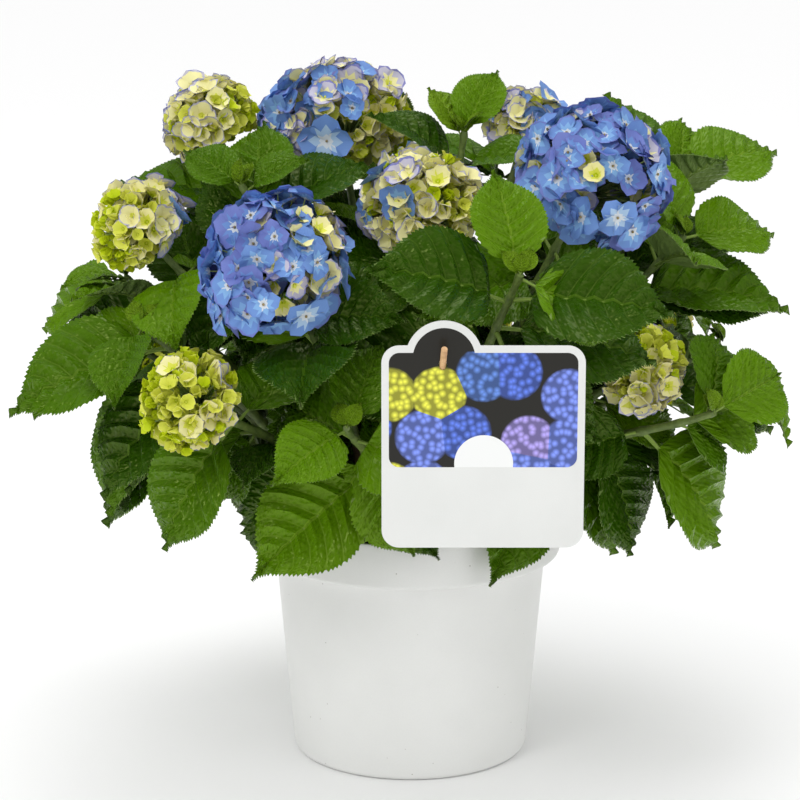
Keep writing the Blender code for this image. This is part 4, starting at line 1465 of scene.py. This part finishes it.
petalPaints = {
    "white": (0.640, 0.690, 0.740),
    "iceSky": (0.380, 0.540, 0.740),
    "paleSky": (0.220, 0.420, 0.720),
    "sky": (0.150, 0.280, 0.610),
    "blue": (0.160, 0.205, 0.530),
    "deepBlue": (0.150, 0.150, 0.440),
    "paleLilac": (0.520, 0.500, 0.600),
    "lilac": (0.230, 0.230, 0.500),
    "cream": (0.820, 0.780, 0.380),
    "limeCream": (0.700, 0.730, 0.100),
    "lime": (0.520, 0.620, 0.008),
    "heart": (0.300, 0.240, 0.120),
    "pedicel": (0.300, 0.400, 0.120),
}

# for each kind of floret: its five paints from the eye to the rim, its size, and how steeply its
# sepals rise from the eye
floretKinds = {
    "clear": (("white", "iceSky", "sky", "sky", "blue"), 1.00, 0.24),
    "deep": (("white", "sky", "blue", "blue", "deepBlue"), 1.00, 0.30),
    "blue": (("white", "paleSky", "sky", "blue", "blue"), 1.00, 0.28),
    "sky": (("white", "paleSky", "sky", "sky", "blue"), 0.98, 0.36),
    "pale": (("limeCream", "cream", "paleLilac", "lilac", "blue"), 0.96, 0.52),
    "lilac": (("limeCream", "cream", "cream", "paleLilac", "blue"), 0.94, 0.74),
    "cream": (("lime", "limeCream", "cream", "cream", "lilac"), 0.80, 0.90),
    "lime": (("lime", "limeCream", "limeCream", "limeCream", "cream"), 0.66, 1.00),
    "green": (("lime", "lime", "lime", "lime", "limeCream"), 0.54, 1.12),
}

# for each head: how ripe it is, the side on which it is riper, and how much riper
headLooks = {
    "blue_front_left": (0.84, (-0.95, 0.2, 0.0), 0.30),
    "blue_right": (0.75, (0.3, -0.2, 0.6), 0.12),
    "blue_top": (0.45, (-1.0, 0.15, 0.45), 0.26),
    "cream_middle": (0.34, (-0.9, 0.0, 0.4), 0.12),
    "cream_top_left": (0.28, (-0.7, -0.1, 0.5), 0.16),
    "cream_left": (0.27, (0.8, 0.0, 0.5), 0.16),
    "lime_low_left": (0.17, (0.8, -0.3, 0.4), 0.10),
    "lime_low_right": (0.20, (0.3, -0.2, -0.8), 0.18),
    "blue_top_right": (0.40, (0.2, -0.3, 0.9), 0.14),
    "blue_back_left": (0.86, (0.0, 1.0, 0.0), 0.16),
    "blue_back_right": (0.90, (0.3, 0.8, 0.3), 0.12),
    "cream_back": (0.38, (0.0, 1.0, 0.5), 0.14),
    "lime_back_left": (0.22, (0.0, 1.0, 0.0), 0.14),
    "lime_back": (0.20, (0.0, 1.0, 0.0), 0.14),
    "lime_back_right": (0.24, (0.0, 1.0, 0.0), 0.14),
}

# large florets that stand out by themselves: the way they look and how much larger they are
largeFlorets = {
    "blue_top": ((-0.12, -0.93, -0.10), 1.50),
    "blue_front_left": ((0.42, -0.70, -0.58), 1.25),
    "blue_right": ((0.25, -0.90, -0.30), 1.10),
}


# how ripe a floret may be to be of a kind, and the kinds of a fully ripe one
ripeSteps = ((0.12, "green"), (0.27, "lime"), (0.40, "cream"), (0.52, "lilac"), (0.60, "pale"), (0.70, "sky"))
ripeKinds = ("deep", "blue", "blue", "sky")
ripeStray = 0.14
lateShare, lateBy = 0.15, 0.34       # some florets open late


def kindFor(ripeness, draw):
    ripeness += draw.uniform(-ripeStray, ripeStray) - (lateBy if draw.random() < lateShare else 0.0)
    for limit, kind in ripeSteps:
        if ripeness < limit:
            return kind
    return draw.choice(ripeKinds)


def sepalPattern():
    # one sepal from a grid: x across, y along, both as shares of the sepal's length
    lines, across = floretPlan["lines"], floretPlan["across"]
    half = len(across) - 1
    nothingSelected()
    bpy.ops.mesh.primitive_grid_add(x_subdivisions=2 * half, y_subdivisions=len(lines) - 1, size=2)
    sepal = bpy.context.object
    shape = openMesh(sepal)
    for face in shape.faces:
        middle = face.calc_center_median()
        row = round((middle.y + 1) / 2 * (len(lines) - 1) - 0.5)
        face.material_index = floretPlan["paintOf"][row][int(abs(middle.x) * half)]
    for vertex in shape.verts:
        column = round(vertex.co.x * half)
        along = lines[round((vertex.co.y + 1) / 2 * (len(lines) - 1))][abs(column)]
        power = 0.50 + 0.30 * along**2 + 1.8 * max(0.0, 0.3 - along)
        wide = math.sin(math.pi * along**0.92) ** power if 0 < along < 1 else 0.0
        wide = max(wide, floretPlan["claw"] * (1 - along))
        out = math.copysign(across[abs(column)], column)
        vertex.co = (out * wide * floretPlan["halfWidth"], along, 0.0)
    bmesh.ops.remove_doubles(shape, verts=shape.verts, dist=0.001)
    closeMesh(sepal)
    return readPattern(sepal)


def sepalArc(rise, curl, along):
    # how far out and up a sepal has come that leaves the eye at this rise and bends on by this curl
    return (
        (np.sin(rise + curl * along) - math.sin(rise)) / curl,
        (math.cos(rise) - np.cos(rise + curl * along)) / curl,
    )


def placedSepal(points, size, rise, curl, turn, lap, draw):
    x, y = points[:, 0], points[:, 1]
    out, up = sepalArc(rise + draw.uniform(*floretPlan["riseStray"]), curl, y)
    bow = draw.uniform(*floretPlan["bow"])
    up = up + bow * x**2 + floretPlan["ruffle"] * np.sin(5 * x + draw.uniform(0, 6)) * y
    shape = np.stack([x, out, up], axis=1) * size * draw.uniform(*floretPlan["sepalSizes"])
    shape[:, 2] += lap * y
    sine, cosine = math.sin(turn), math.cos(turn)
    spin = np.array([[cosine, -sine, 0], [sine, cosine, 0], [0, 0, 1]])
    return shape @ spin.T


def headDirections(count, draw):
    for x, y, height in spiralPoints(count, 0.2, draw):
        yield Vector((x, y, height + draw.uniform(-0.04, 0.04)))


def growHead(stem, heap, parts):
    draw = random.Random(stem.name + " sepals")
    base, toward, slope = headLooks[stem.name]
    toward = Vector(toward).normalized()
    typical = 0.62 + 0.38 * min(1.0, base / 0.8)       # young heads have smaller florets
    count = round(math.pi * (stem.head / (floretPlan["spacing"] * typical)) ** 2)
    layers = [(direction, floretPlan["stand"]) for direction in headDirections(count, draw)]
    inner = round(count * floretPlan["innerShare"])
    layers += [(direction, floretPlan["innerStand"]) for direction in headDirections(inner, draw)]
    large, larger = largeFlorets.get(stem.name, ((0.0, 0.0, -1.0), 0.0))
    large = Vector(large).normalized()
    for direction, stand in layers:
        outward = (headPoint(stem, direction, 1.0) - stem.tip).normalized()
        hidden = direction.z < floretPlan["lowest"]
        if hidden or (larger and outward.dot(large) > floretPlan["largeClear"]):
            continue
        patch = floretPlan["patches"] * noise.noise(outward * 3.0 + Vector((len(stem.name), 0.0, 0.0)))
        kind = kindFor(base + slope * outward.dot(toward) + patch, draw)
        lean = Vector([draw.uniform(-1, 1) for _ in range(3)]) * floretPlan["tilt"]
        facing = (outward + lean).normalized()
        scale = draw.uniform(*floretPlan["sizes"])
        growFloret(stem, heap, parts, direction, stand, facing, kind, scale, draw)
    if larger:
        direction = stem.facing.to_track_quat("Z", "Y").inverted() @ large
        growFloret(stem, heap, parts, direction, floretPlan["largeStand"], large, "clear", larger, draw)


def growFloret(stem, heap, parts, direction, stand, facing, kind, scale, draw):
    sepal, bud, paints = parts
    petals, size, rise = floretKinds[kind]
    size = size * floretPlan["size"] * scale
    curl = min(-0.05, draw.uniform(*floretPlan["curl"])) + 0.8 * rise * draw.uniform(0.0, 1.0)
    curl = math.copysign(max(abs(curl), 0.03), curl)       # never quite straight
    height = sepalArc(rise, curl, 1.0)[1] * size
    centre = headPoint(stem, direction, draw.uniform(*stand) - height / (stem.head / 2))
    frameTurn = np.array(facing.to_track_quat("Z", "Y").to_matrix())
    spin = draw.uniform(0, math.pi / 2)
    slots = [paints.index(petals[slot]) for slot in sepal["slots"]]
    for quarter in range(4):
        lap = floretPlan["lap"] * (quarter % 2)
        points = placedSepal(sepal["points"], size, rise, curl, spin + quarter * math.pi / 2, lap, draw)
        heap.add(points @ frameTurn.T + np.array(centre), sepal["faces"], slots, sepal["uvs"])
    middlePoint = np.array(centre + facing * floretPlan["bud"])
    budPaint = "heart" if petals[0] == "white" else "limeCream"
    heap.add(bud["points"] * floretPlan["bud"] + middlePoint, bud["faces"],
             [paints.index(budPaint)] * len(bud["faces"]), bud["uvs"])
    root = stem.tip - stem.facing * stem.head * draw.uniform(*floretPlan["pedicelRoot"])
    elbow = root.lerp(centre, 0.55) + stem.facing * stem.head * floretPlan["pedicelBow"]
    ways = [elbow - root, centre - root, centre - elbow]
    radii = [floretPlan["pedicel"] * share for share in (1.4, 1.2, 1.0)]
    stalk, sides = tube([root, elbow, centre], ways, radii, 3)
    corners = sum(len(side) for side in sides)
    heap.add(stalk, sides, [paints.index("pedicel")] * len(sides), [(0.5, 0.5)] * corners)


def makeBlossom():
    sepal = sepalPattern()
    nothingSelected()
    bpy.ops.mesh.primitive_uv_sphere_add(segments=5, ring_count=3, radius=1.0)
    parts = sepal, readPattern(bpy.context.object), list(petalPaints)
    materials = [petalMaterial(name + "Petal", paint) for name, paint in petalPaints.items()]
    for piece in ("blueFront", "blueBack", "cream", "lime"):
        kind = piece.replace("Front", "").replace("Back", "")
        heads = [stem for stem in stems if stem.head and stem.name.startswith(kind + "_")]
        if kind == "blue":
            heads = [stem for stem in heads if ("_back_" in stem.name) == (piece == "blueBack")]
        heap = Growth()
        for stem in heads:
            growHead(stem, heap, parts)
        made = heap.make("blossom" + piece[0].upper() + piece[1:], materials)
        smooth(made, 180)
        rideRoot(made, "petal_" + kind, *["spray_" + stem.name for stem in heads])


makeBlossom()
print("flower heads made")
